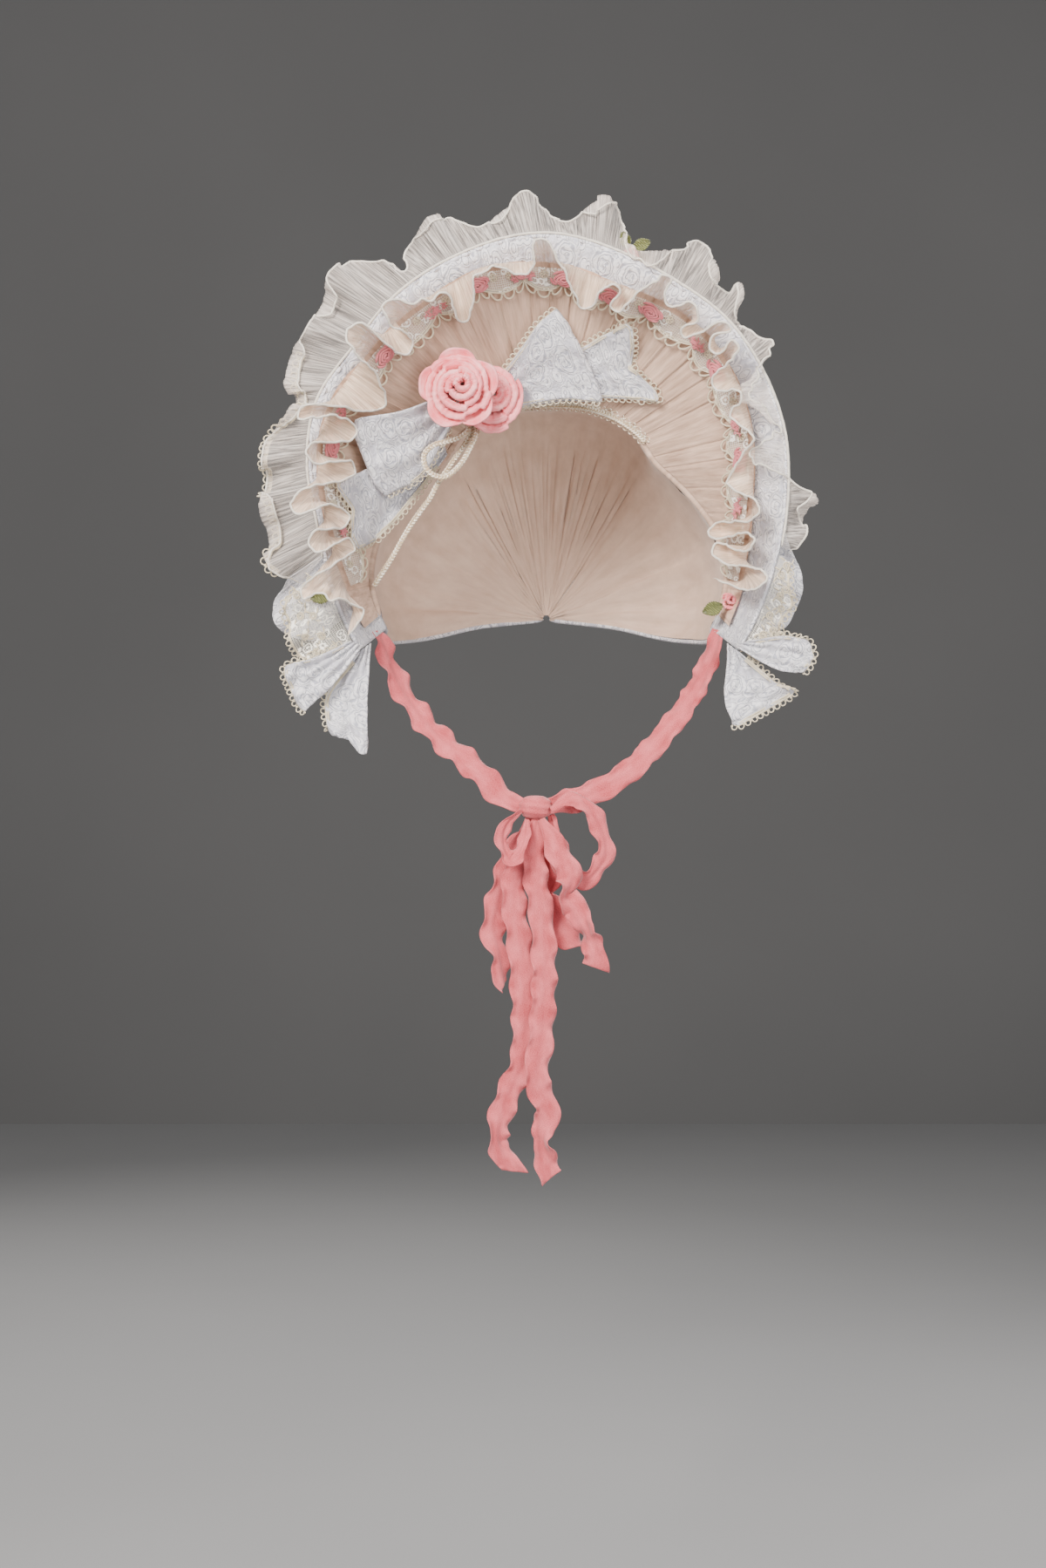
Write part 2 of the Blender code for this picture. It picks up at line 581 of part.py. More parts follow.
def make_gimp():
    """Braid along the head edge in two strands, a loop and a hanging end."""
    strands = (
        ("gimp_lower", np.linspace(-38, 72, 19), -2.0, 2.2, 2.4),
        ("gimp_upper", np.linspace(-18, 36, 10), 4.2, 8.0, 5.3),
    )
    for name, clocks, low, high, lift in strands:
        seat = read_table(SEAT, "clock", "reach", clocks)
        grid = np.stack((before_brim(clocks, seat + low, lift),
                         before_brim(clocks, seat + high, lift)))
        sheet_solid(name, "ivory_lace", grid, 1.0)
    tube_solid("gimp_loop", "ivory_lace", GIMP_LOOP, GIMP_DIAMETER)
    tube_solid("gimp_tail", "ivory_lace", GIMP_TAIL, GIMP_DIAMETER)


def make_rim_frills():
    rim_frill("rim_ruffle", "ivory_chiffon", RIM_HEM, RIM_RUFFLE_ENDS, 126, 0.0)
    rim_frill("corner_lace_left", "ivory_lace", LEFT_LACE_HEM[::-1], (-133.0, -114.5), 18, 0.0)
    rim_frill("corner_lace_right", "ivory_lace", RIGHT_LACE_HEM, (111.5, 133.0), 18, 0.0)
    rim_frill("side_flounce_left", "blue_jacquard", LEFT_FLOUNCE_HEM[::-1], (-126.0, -110.0),
              12, 8.0)
    rim_frill("side_flounce_right", "blue_jacquard", RIGHT_FLOUNCE_HEM, (106.0, 126.0), 14, 8.0)


def make_corner_bows():
    bow_tail("corner_loop_right", CORNER_LOOP_RIGHT, (2.4, 9, 10), -3, 1.0, 5)
    bow_tail("corner_tail_right", CORNER_TAIL_RIGHT, (0, 3, 5), 0, 1.2, 5)
    bow_tail("corner_loop_left", CORNER_LOOP_LEFT, (2.9, 9, 10), 0, 1.0, 5)
    bow_tail("corner_tail_left", CORNER_TAIL_LEFT, (0, 3, 5), 5, 1.2, 5)


def rosebud(name, clock, reach, lift, size):
    """A bud of wrapped petals, fuller at the middle."""
    turn = np.arange(8) * 2 * math.pi / 8
    middle = place(clock, reach, 0.0)
    rings = []
    for rise, girth in ((0.0, 0.55), (0.35, 1.0), (0.75, 0.95), (1.0, 0.45)):
        lobes = size * girth * (1 + 0.08 * np.cos(3 * turn + 4 * rise))
        clocks, reaches = clock_and_reach(middle[0] + lobes * np.cos(turn),
                                          middle[2] + lobes * np.sin(turn))
        rings.append(before_brim(clocks, reaches, lift + 1.2 * size * rise))
    ring_solid(name, "rose_pink", rings)


def leaf(name, middle, length, heading):
    """A small pointed leaf, cupped along its middle vein."""
    aim = math.radians(heading)
    rows = []
    for across in (-1.0, 0.0, 1.0):
        line = []
        for along in (0.0, 0.3, 0.65, 1.0):
            half = length * (0.05 + 0.26 * math.sin(math.pi * min(along * 1.1, 1.0)))
            x = length * along
            line.append((
                middle[0] + x * math.cos(aim) - across * half * math.sin(aim),
                middle[1] - 1.0 * abs(across) - 1.5 * along,
                middle[2] + x * math.sin(aim) + across * half * math.cos(aim)))
        rows.append(line)
    sheet_solid(name, "leaf_green", np.array(rows), 1.0)


def make_buds():
    rosebud("rosebud_right", 126.5, 135, 3.7, 5.5)
    leaf("leaf_right", (104.5, -64, -127.5), 13, 200)
    leaf("leaf_left", (-129, -80.9, -122.5), 13, 190)
    rosebud("rosebud_top", 21.5, 131, -8.2, 5.0)
    leaf("leaf_top_left", (46.5, -94.5, 82), 12, 82)
    leaf("leaf_top_right", (52.9, -95.3, 78.3), 13, 25)


def ribbon(name, route, width, tilts, wave=1.6, gather=(1.0, 1.0)):
    """A chin tie: a strip along a route, its edges stretched into small waves. A tilt of 0
    faces the front, and one of 90 stands edge on."""
    length = float(np.sum(np.linalg.norm(np.diff(np.asarray(route, float), axis=0), axis=1)))
    columns = max(9, int(length / (RIBBON_WAVE / 3)))
    spine = curve_through(route, columns)
    ahead = unit(np.gradient(spine, axis=0))
    flat = unit(np.cross(ahead, (0.0, 1.0, 0.0)))
    tilt = np.radians(np.linspace(tilts[0], tilts[1], columns))[:, None]
    side = unit(flat * np.cos(tilt) + np.array((0.0, 1.0, 0.0)) * np.sin(tilt))
    face = np.cross(side, ahead)
    run = np.linspace(0.0, length, columns)
    phase = 2 * math.pi * run / RIBBON_WAVE
    ease = np.interp(run, (0, 22, length - 22, length), (gather[0], 1, 1, gather[1]))
    rows = []
    for edge in (-0.5, 0.5):
        sway = wave * np.sin(phase + (1.4 if edge > 0 else 0.0)) * ease
        half = width * ease + 0.8 * np.cos(phase) * ease
        rows.append(spine + side * (edge * half)[:, None] + face * (edge * 2 * sway)[:, None])
    sheet_solid(name, "tie_pink", np.stack(rows), RIBBON_THICKNESS)


def make_ties():
    ribbon("tie_strap_left", STRAP_LEFT, RIBBON_WIDTH, (50, 0), 1.2, (0.8, 0.6))
    ribbon("tie_strap_right", STRAP_RIGHT, RIBBON_WIDTH, (-50, 0), 1.2, (0.8, 0.6))
    rounded_knot("tie_knot", "tie_pink", KNOT_CENTRE, KNOT_SIZE)
    ribbon("tie_loop_right", TIE_LOOP_RIGHT, 11.0, (40, 40), 1.2, (0.4, 0.4))
    ribbon("tie_loop_left", TIE_LOOP_LEFT, 9.0, (40, 40), 1.0, (0.4, 0.4))
    for name, route in TIE_TAILS.items():
        ribbon(name, route, RIBBON_WIDTH, (0, 0), 1.5, (0.3, 1.0))


def main():
    clear_scene()
    make_brim()
    make_lining()
    make_crown()
    make_rim_frills()
    make_inner_ruffle()
    make_lace()
    make_bow()
    make_roses()
    make_gimp()
    make_corner_bows()
    make_buds()
    make_ties()


main()
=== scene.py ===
"""Looks of the ruffled bonnet: every cloth, lace, braid and ribbon round the fixed frame.

Places and sizes are in millimetres in the part's own frame: +Z up, the front looks along -Y,
+X is the viewer's right. A place on the brim is given by its clock angle (degrees from the
top, positive to the viewer's right), its reach from the brim's centre and its depth along Y.
A mesh is scaled to metres when it is made.
"""
import math
from collections import namedtuple

import bpy
import numpy as np
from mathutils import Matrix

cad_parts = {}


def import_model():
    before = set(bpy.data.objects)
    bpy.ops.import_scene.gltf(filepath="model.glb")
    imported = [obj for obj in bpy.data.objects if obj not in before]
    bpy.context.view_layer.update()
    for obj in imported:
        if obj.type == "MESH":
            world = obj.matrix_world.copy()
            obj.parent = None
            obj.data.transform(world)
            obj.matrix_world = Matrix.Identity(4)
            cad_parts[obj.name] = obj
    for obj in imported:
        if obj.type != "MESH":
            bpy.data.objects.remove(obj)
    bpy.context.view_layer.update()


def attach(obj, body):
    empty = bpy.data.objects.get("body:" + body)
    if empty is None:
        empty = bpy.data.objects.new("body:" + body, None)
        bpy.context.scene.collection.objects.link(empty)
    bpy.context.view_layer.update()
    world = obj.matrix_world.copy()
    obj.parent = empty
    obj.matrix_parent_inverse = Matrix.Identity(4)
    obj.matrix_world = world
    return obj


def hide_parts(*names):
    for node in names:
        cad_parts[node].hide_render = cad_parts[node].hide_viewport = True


MILLIMETRE = 0.001
CENTRE_HEIGHT = -45.5
BRIM_END = 134.0
BRIM_THICKNESS = 2.4
LAYER_REACH = 10.0
LINING_LIFT = 3.1
RUFFLE_FOOT_LIFT = 2.1
INNER_RUFFLE_WIDTH = 30.0
LEAST_RUFFLE_LIFT = 18.0
RIM_RUFFLE_ENDS = (-112.5, 109.5)
INNER_RUFFLE_ENDS = (-126.0, 121.0)
LACE_LIFT = 7.0
LACE_INSET = 3.0
LACE_ROSE_INSET = 8.0
LACE_ROSE_LIFT = 8.2
GIMP_DIAMETER = 3.6
GIMP_WIDTH = 3.9
RIBBON_WIDTH = 15.0
RIBBON_WAVE = 21.0
RIBBON_THICKNESS = 0.35
BOW_THICKNESS = 0.9
PETAL_THICKNESS = 0.9
LEAF_THICKNESS = 0.5
FLOUNCE_THICKNESS = 0.8
CROWN_THICKNESS = 1.4
BEHIND_BRIM = -2.4
RIM_LAP = 1.2
LINING_LAP = 0.6
LINING_MARGIN = 3.6
PLEAT_PITCH = 8.6
PLEAT_HEIGHT = 2.2
LACE_LOOP_PITCH = 8.4
LACE_FLOWER_PITCH = 5.2
RIM_PIPING = 1.5
SEAM_PIPING = 1.3
NECK_BINDING = 1.6
HEAD_EDGE_BINDING = 2.5
RIM_HEM_RADIUS = 0.6
INNER_HEM_RADIUS = 0.68
HEADING_RADIUS = 0.8

# Where along a bow piece its lifts are given
ROOT_MIDDLE_END = (0, 0.5, 1)

# How finely the cloths are divided
BRIM_COLUMNS = 400
LINING_COLUMNS = 1100
CROWN_COLUMNS = 500
CROWN_ROWS = 46
RIM_RUFFLE_COLUMNS = 1700
HEADING_COLUMNS = 900
INNER_RUFFLE_COLUMNS = 1900
LACE_COLUMNS = 1200
BOW_ROWS = 34
BOW_LOOP_COLUMNS = 40
ROSE_COLUMNS_A_TURN = 190
KNOT_COLUMNS = 60
KNOT_RINGS = 25
THREAD_SIDES = 5

# Directions: out to the front, back, and the one that a thread's sides are squared with
FRONT = np.array((0.0, -1.0, 0.0))
BACK = np.array((0.0, 1.0, 0.0))
THREAD_BACK = (0.08, 1.0, 0.05)

Edge = namedtuple("Edge", "clock reach depth")
Turn = namedtuple("Turn", "clock reach")
Lobe = namedtuple("Lobe", "clock reach back")
Section = namedtuple("Section", "part depth width height middle")
Station = namedtuple("Station", "along upper_x upper_z lower_x lower_z")
Panel = namedtuple("Panel", "node stations lifts notch folds seed lace_rows end_lace")
Frill = namedtuple("Frill", "node hem ends flat", defaults=(None,))
Strand = namedtuple("Strand", "node start end columns outward lift")
Bud = namedtuple("Bud", "node clock reach lift size")
Leaf = namedtuple("Leaf", "node middle length heading")
Tie = namedtuple("Tie", "name route width tilts wave gather cut")
Look = namedtuple("Look", "slot material")
Lamp = namedtuple("Lamp", "name spot aim power size colour")

# The brim's outer edge
RIM = [Edge(*row) for row in (
    (-135, 158, -72), (-120, 149, -80), (-105, 141, -87), (-90, 142, -90), (-75, 141, -93),
    (-60, 133, -96), (-45, 132, -99), (-25, 131, -102), (0, 132, -103), (20, 128, -102),
    (35, 128, -100), (52, 133, -97), (68, 136, -94), (82, 139, -91), (97, 141, -89),
    (113, 146, -84), (135, 158, -72),
)]

# The edge round the head, where brim and crown meet
SEAT = [Edge(*row) for row in (
    (-135, 138, -48), (-122, 128, -44), (-109, 109, -36), (-99, 90, -31), (-86, 70, -29),
    (-66, 60, -32), (-30, 46, -38), (0, 41.5, -40), (30, 46, -38), (66, 60, -32), (86, 70, -29),
    (99, 90, -31), (109, 109, -36), (122, 128, -44), (135, 138, -48),
)]

# The line on the brim's front where the inner ruffle is sewn and the lining ends
SEWING_LINE = [Turn(*row) for row in (
    (-135, 148), (-118, 140), (-107, 137), (-92, 137), (-80, 136), (-70, 131), (-60, 125),
    (-48, 122), (-35, 119.5), (-22, 120), (-8, 118), (5, 116), (20, 112), (34, 115), (51, 120),
    (61, 121), (80, 122), (90, 122), (103, 124), (118, 133), (135, 147),
)]

# Crown sections from the seat back to the gathered nape, as shares of the seat's outline
CROWN = [Section(*row) for row in (
    (0.0, -36, 1.0, 1.0, -80), (0.2, -8, 1.03, 1.045, -80), (0.4, 24, 1.03, 1.063, -80),
    (0.6, 62, 0.96, 0.96, -84), (0.8, 98, 0.72, 0.70, -94), (0.9, 111, 0.42, 0.38, -106),
    (0.96, 109, 0.14, 0.12, -119), (1.0, 106, 0.02, 0.02, -124),
)]

# The rim ruffle's hem, a row for each swing in or out
RIM_HEM = [Lobe(*row) for row in (
    (-115, 164, 9), (-110, 178, 0), (-105, 173, 10), (-98, 174, 1), (-93, 169, 11),
    (-89, 170, 0), (-84.5, 168, 10), (-79, 158, -1), (-76, 155, 9), (-73.5, 164, 2),
    (-67.5, 167, 12), (-61, 163, 0), (-54.5, 165, 10), (-49.5, 170, -2), (-44.5, 167, 9),
    (-39.5, 153, 2), (-37, 142, 6), (-33.5, 153, 12), (-26.5, 160, 0), (-22, 155, 8),
    (-17, 143, 1), (-11, 150, 8), (-5, 158, 0), (0, 146, 8), (4.5, 140, 0), (9, 153, 6),
    (12.5, 159, 1), (16.5, 151, 9), (19, 136, 2), (24, 133, -3), (29, 142, 5), (32, 146, 1),
    (35, 159, 8), (41, 149, -2), (44.5, 144, 8), (48, 153, 1), (53, 138, 5), (61.5, 149, -1),
    (64.5, 144, -3), (68.5, 120, -6), (73, 116, -5), (81, 137, -1), (84, 132, -3),
    (87, 119, -6), (91, 121, -4), (96.5, 159, 1), (101.5, 155, 10), (105.5, 158, 2),
    (109.5, 152, 8),
)]

# The inner ruffle's hem: its S folds run back on themselves
INNER_HEM = [Turn(*row) for row in (
    (-131, 158), (-128.5, 141), (-123, 152), (-117.5, 164), (-114, 126), (-110, 149),
    (-104.5, 122), (-100, 153), (-93, 115), (-89, 141), (-80.5, 115),
    (-79, 147), (-70.5, 103), (-58, 138), (-53, 104), (-48.5, 129), (-39, 118),
    (-32, 112), (-30.5, 96), (-23, 113), (-16.5, 116), (-7, 107), (-1, 124), (11.5, 92),
    (20, 107), (25.5, 96), (32, 123), (38, 112), (45, 121), (48, 106), (52.5, 128),
    (55.5, 113), (60, 126), (64.5, 106), (71, 118), (76, 109), (84, 120), (95.5, 106),
    (104, 126), (111.5, 103), (111, 129), (118, 110), (119, 144), (124.5, 118),
)]

LEFT_LACE_HEM = [Lobe(*row) for row in (
    (-133, 174, 4), (-130, 184, -2), (-127, 187, 5), (-124, 186, -2), (-121, 181, 5),
    (-118.5, 179, -2), (-116, 168, 4),
)]
RIGHT_LACE_HEM = [Lobe(*row) for row in (
    (112, 154, 3), (116, 158, -2), (120, 167, 4), (124, 166, -2), (127, 171, 4),
    (130.5, 170, -2), (133.5, 168, 4),
)]
LEFT_FLOUNCE_HEM = [Lobe(*row) for row in (
    (-126, 176, 13), (-122.5, 186, 17), (-119.5, 189, 12), (-116, 184, 17), (-113, 168, 13),
)]
RIGHT_FLOUNCE_HEM = [Lobe(*row) for row in (
    (105, 146, 15), (108.5, 152, 13), (112.5, 164, 18), (116, 169, 13), (120, 171, 18),
    (124, 171, 13), (127, 164, 16),
)]

# Embroidered roses on the lace, by clock angle: wound ones, and clusters of short stitches
WOUND_ROSES = {"02": -86, "04": -57, "06": -22.5, "08": 4.5, "09": 20.5, "10": 34, "12": 61,
               "14": 88.5}
STITCHED_ROSES = {"01": -107.5, "03": -77, "05": -37, "07": -8, "11": 50.5, "13": 78,
                  "15": 102.5}

# Bow pieces from the knot to the free end
BOW_LOOP_RIGHT = [Station(*row) for row in (
    (0.0, -32.5, 6, -32.3, -8), (0.5, -10, 32, 5, -4), (1.0, 5, 49, 35, -3),
)]
BOW_TAIL_RIGHT = [Station(*row) for row in (
    (0.0, -24, 8, -22, -2), (0.5, 14, 24, 22, 0), (1.0, 51, 39, 72, -6),
)]
BOW_LOOP_LEFT = [Station(*row) for row in (
    (0.0, -57.0, -2, -56.8, -15), (0.5, -90, -14, -76, -47), (1.0, -118, -22, -101, -65),
)]
BOW_TAIL_LEFT = [Station(*row) for row in (
    (0.0, -65, -22, -62, -34), (0.5, -97, -40, -90, -72), (1.0, -129, -56, -118, -97),
)]
CORNER_LOOP_RIGHT = [Station(*row) for row in (
    (0.0, 118, -150, 111.5, -153), (0.5, 139, -148, 133, -167), (1.0, 153, -150, 152, -169),
)]
CORNER_TAIL_RIGHT = [Station(*row) for row in (
    (0.0, 113.6, -156.6, 107.2, -150.4), (0.5, 132, -172, 105, -181),
    (1.0, 147, -181, 109, -203),
)]
CORNER_LOOP_LEFT = [Station(*row) for row in (
    (0.0, -118, -150, -111.5, -153), (0.5, -141, -161, -130, -178), (1.0, -158, -166, -147, -194),
)]
CORNER_TAIL_LEFT = [Station(*row) for row in (
    (0.0, -113.6, -156.6, -107.2, -150.4), (0.5, -132, -182, -108, -188),
    (1.0, -132, -206, -109, -221),
)]

# Flat ends of the bows: lifts at the root, middle and end, the depth of the end's notch and of
# the folds, and the rows that have lace
BOW_TAILS = [Panel(*row) for row in (
    ("bow_tail_right", BOW_TAIL_RIGHT, (7.2, 7.2, 7.2), 12, 0.5, 55, (0, -1), True),
    ("bow_tail_left", BOW_TAIL_LEFT, (9.9, 9.9, 9.9), 8, 0.8, 65, (-1,), True),
)]
CORNER_BOWS = [Panel(*row) for row in (
    ("corner_loop_right", CORNER_LOOP_RIGHT, (2.4, 9, 10), -3, 0.9, 71, (0,), True),
    ("corner_tail_right", CORNER_TAIL_RIGHT, (0, 3, 5), 0, 1.0, 73, (0,), True),
    ("corner_loop_left", CORNER_LOOP_LEFT, (2.9, 9, 10), 0, 0.9, 75, (0,), True),
    ("corner_tail_left", CORNER_TAIL_LEFT, (0, 3, 5), 5, 1.0, 77, (0,), False),
)]

CORNER_LACES = [Frill(*row) for row in (
    ("corner_lace_left", LEFT_LACE_HEM, (-133.0, -114.5), (0.030, 0.080)),
    ("corner_lace_right", RIGHT_LACE_HEM, (111.5, 133.0), (0.020, 0.048)),
)]
SIDE_FLOUNCES = [Frill(*row) for row in (
    ("side_flounce_left", LEFT_FLOUNCE_HEM, (-126.0, -110.0)),
    ("side_flounce_right", RIGHT_FLOUNCE_HEM, (106.0, 126.0)),
)]
GIMP_STRANDS = [Strand(*row) for row in (
    ("gimp_lower", -38, 72, 420, 0.1, 3.4), ("gimp_upper", -18, 36, 200, 6.1, 5.3),
)]
BUDS = [Bud(*row) for row in (
    ("rosebud_right", 126.5, 135, 3.7, 5.5), ("rosebud_top", 21.5, 131, -8.2, 5.0),
)]
LEAVES = [Leaf(*row) for row in (
    ("leaf_right", (104.5, -64, -127.5), 13, 200), ("leaf_left", (-129, -80.9, -122.5), 13, 190),
    ("leaf_top_left", (46.5, -94.5, 80.5), 10, 112),
    ("leaf_top_right", (48.9, -95.3, 80.3), 11, 20),
)]

# Chin ties: routes in x, depth and z. The straps start in the brim and end in the knot
STRAP_LEFT = (
    (-103.3, -55.2, -142), (-101.5, -54.5, -146.9), (-92, -51, -172), (-70, -52, -203),
    (-44, -57, -226), (-20.2, -62, -247), (-10, -62, -248.7),
)
STRAP_RIGHT = (
    (103.3, -55.2, -142), (101.5, -54.5, -146.9), (92, -51, -172), (68, -52, -207),
    (42, -57, -232), (2.7, -62, -247.5), (-10, -62, -248.7),
)
KNOT_CENTRE = (-8, -62, -249)
KNOT_SIZE = (10.0, 7.5, 7.0)
BOW_KNOT_CENTRE = (-43.8, -61.6, -7)
BOW_KNOT_SIZE = (12.6, 7.2, 11.0)
TIE_LOOP_RIGHT = (
    (0.8, -69.2, -250), (16, -70, -244), (28, -69, -256), (33, -66, -280), (20, -63, -293),
    (8, -61, -287), (6, -60, -272), (0.9, -57.0, -253.6),
)
TIE_LOOP_LEFT = (
    (-16.2, -67.5, -251), (-25, -71, -258), (-28, -73, -268), (-23, -74, -280),
    (-17, -73, -274), (-13.4, -67.0, -256.2),
)
TIE_TAIL_1 = (
    (-12, -61.2, -255.8), (-21, -58, -293), (-17, -58, -340), (-15, -58, -387), (-16, -58, -403),
    (-21, -58, -414), (-30, -58, -440), (-31, -58, -448), (-21, -58, -469),
)
TIE_TAIL_2 = (
    (-8, -63.4, -255.8), (-9, -64, -280), (-4, -64, -318), (-3, -64, -356), (-5, -64, -390),
    (-7, -64, -414), (-1, -64, -432), (-4, -64, -446), (1, -64, -472),
)
TIE_TAIL_3 = (
    (-10.6, -59.3, -255.8), (-12, -57, -262), (-20, -52, -275), (-28, -50, -298),
    (-34, -50, -322), (-30, -50, -340), (-27, -50, -357),
)
TIE_TAIL_4 = (
    (-4.6, -59.6, -255.8), (-3, -53, -268), (2, -51, -289), (-4, -51, -301), (5, -51, -314),
    (11, -51, -327), (16, -51, -334),
)
TIE_TAIL_5 = (
    (-4.5, -65.6, -255.8), (5, -72, -275), (12, -74, -296), (9, -74, -301), (16, -74, -309),
    (21, -74, -320), (26, -74, -332), (28, -74, -345),
)

# Each tie's tilts are pairs of a share of its length and degrees, and its gather is the share of
# its width left at either end
TIES = [Tie(*row) for row in (
    ("tie_strap_left", STRAP_LEFT, RIBBON_WIDTH, ((0, 50), (1, 0)), 2.2, (0.8, 0.4), 0),
    ("tie_strap_right", STRAP_RIGHT, RIBBON_WIDTH, ((0, -50), (1, 0)), 2.2, (0.8, 0.4), 0),
    ("tie_loop_right", TIE_LOOP_RIGHT, 11.0, ((0, 30), (0.5, 12), (1, 30)), 1.6, (0.4, 0.4), 0),
    ("tie_loop_left", TIE_LOOP_LEFT, 10.0, ((0, 40), (1, 30)), 1.3, (0.4, 0.4), 0),
    ("tie_tail_1", TIE_TAIL_1, RIBBON_WIDTH,
     ((0, 0), (0.84, 0), (0.91, 58), (0.97, 0), (1, 0)), 2.6, (0.3, 0.95), 9),
    ("tie_tail_2", TIE_TAIL_2, RIBBON_WIDTH,
     ((0, 0), (0.82, 0), (0.89, -60), (0.96, 0), (1, 0)), 2.6, (0.3, 0.95), -7),
    ("tie_tail_3", TIE_TAIL_3, RIBBON_WIDTH, ((0, 0), (0.7, 20), (1, 60)), 2.6, (0.3, 0.95), -8),
    ("tie_tail_4", TIE_TAIL_4, RIBBON_WIDTH, ((0, 0), (0.6, -20), (1, 20)), 2.6, (0.3, 0.95), 5),
    ("tie_tail_5", TIE_TAIL_5, RIBBON_WIDTH,
     ((0, 0), (0.4, 0), (0.5, 55), (0.62, 0), (0.8, -55), (0.92, 0), (1, 0)), 2.6, (0.3, 0.95),
     8),
)]

GIMP_LOOP = (
    (-48, -65.0, -17.9), (-49, -67, -23), (-56, -69, -28), (-62, -70, -30), (-69, -70, -32),
    (-74.5, -69, -37), (-74, -69, -45), (-69, -69, -50), (-62.5, -69, -51), (-57, -69, -47.5),
    (-52, -70, -42), (-48, -70, -35), (-43.5, -67.5, -25), (-42.5, -65.0, -17.9),
)
GIMP_TAIL = (
    (-46, -60.4, -18.0), (-47, -61, -24), (-51, -61, -31), (-56, -61, -38), (-61, -61, -45.5),
    (-67, -60, -54), (-72, -59, -63), (-78, -58, -71), (-83.5, -57, -79), (-89, -56, -88),
    (-94, -56, -97), (-100, -56, -106.5), (-106, -56, -116),
)

# The stage, in metres
CAMERA_SPOT = (-0.0156, -1.575, -0.235)
CAMERA_LENS = 57.7
FLOOR_HEIGHT = -0.80
BACKDROP_DEPTH = 2.6
STAGE_REACH = 9
LAMPS = [Lamp(*row) for row in (
    ("key", (-0.65, -1.45, 0.6), (0.0, -0.05, -0.05), 62.0, 0.55, (1.0, 0.95, 0.90)),
    ("fill", (0.7, -1.5, 0.0), (0.0, -0.05, -0.1), 24.0, 1.0, (1.0, 0.97, 0.95)),
    ("rim", (0.55, 0.75, 0.45), (0.0, 0.0, -0.05), 9.0, 0.5, (1.0, 0.96, 0.97)),
    ("back", (-0.7, 1.5, 0.6), (0.0, 0.0, -0.1), 16.0, 0.6, (1.0, 0.97, 0.95)),
    ("side", (1.7, 0.3, 0.5), (0.0, 0.0, -0.1), 12.0, 0.6, (1.0, 0.98, 0.96)),
    ("top", (-0.1, -0.3, 1.1), (0.0, -0.05, 0.0), 6.0, 0.8, (1.0, 1.0, 1.0)),
)]


# Curves and places

def smooth_through(knots, values, at):
    """A smooth curve through the values at the knots, read at one or many places."""
    knots = np.asarray(knots, float)
    values = np.asarray(values, float)
    slopes = np.gradient(values, knots)
    at = np.clip(np.asarray(at, float), knots[0], knots[-1])
    before = np.clip(np.searchsorted(knots, at) - 1, 0, len(knots) - 2)
    span = knots[before + 1] - knots[before]
    part = (at - knots[before]) / span
    from_value = 2 * part ** 3 - 3 * part ** 2 + 1
    from_slope = part ** 3 - 2 * part ** 2 + part
    to_slope = part ** 3 - part ** 2
    return (from_value * values[before] + (1 - from_value) * values[before + 1]
            + span * (from_slope * slopes[before] + to_slope * slopes[before + 1]))


def read_table(rows, key, name, at):
    """One column of a table, read smoothly at a value of its key column."""
    return smooth_through([getattr(row, key) for row in rows],
                          [getattr(row, name) for row in rows], at)


def reach_of(line, clocks):
    return read_table(line, "clock", "reach", clocks)


def depth_of(line, clocks):
    return read_table(line, "clock", "depth", clocks)


def running_length(points):
    return np.concatenate(([0.0], np.cumsum(np.linalg.norm(np.diff(points, axis=0), axis=1))))


def curve_through(points, count):
    """Evenly spaced places along a smooth curve through the given points."""
    points = np.asarray(points, float)
    reached = running_length(points)
    fine = np.linspace(0.0, reached[-1], 12 * len(points))
    dense = np.column_stack([smooth_through(reached, values, fine) for values in points.T])
    return spread_evenly(dense, count)


def spread_evenly(points, count):
    run = running_length(points)
    even = np.linspace(0.0, run[-1], count)
    return np.column_stack([np.interp(even, run, values) for values in np.asarray(points).T])


def drift(at, step, seed):
    """Smooth wandering from -1 to 1, with a new value about every step."""
    at = np.asarray(at, float)
    count = int(np.ptp(at) / step) + 4
    values = np.random.default_rng(seed).uniform(-1.0, 1.0, count)
    return smooth_through(np.arange(count) * step, values, at - at.min())


def crumple(rows, columns, cells, seed):
    """A smooth field of soft creases from -1 to 1, over rows and columns."""
    coarse = np.random.default_rng(seed).uniform(-1.0, 1.0, (cells[0] + 1, cells[1] + 1))
    down = np.linspace(0.0, cells[0], rows)
    across = np.linspace(0.0, cells[1], columns)
    tall = np.stack([smooth_through(np.arange(cells[0] + 1), one, down) for one in coarse.T])
    return np.stack([smooth_through(np.arange(cells[1] + 1), one, across) for one in tall.T])


def rounded_turns(points, width, share):
    """A wavy line's points with each turn drawn out into a round head, as folded cloth has."""
    points = np.asarray(points, float)
    made = [points[0]]
    for before, here, after in zip(points[:-2], points[1:-1], points[2:]):
        along = unit(after - before)
        ahead = here - (before + after) / 2
        tip = unit(ahead - along * np.dot(ahead, along))
        near = min(np.linalg.norm(here - before), np.linalg.norm(after - here))
        half = min(width, share * near)
        made.extend((here - along * half - tip * 0.6 * half, here,
                     here + along * half - tip * 0.6 * half))
    made.append(points[-1])
    return np.array(made)


def place(clock, reach, depth):
    """Points from clock angle, reach and depth."""
    angle = np.radians(clock)
    return np.stack(np.broadcast_arrays(
        reach * np.sin(angle), depth, CENTRE_HEIGHT + reach * np.cos(angle)), axis=-1)


def clock_and_reach(x, z):
    up = np.asarray(z, float) - CENTRE_HEIGHT
    return np.degrees(np.arctan2(x, up)), np.hypot(x, up)


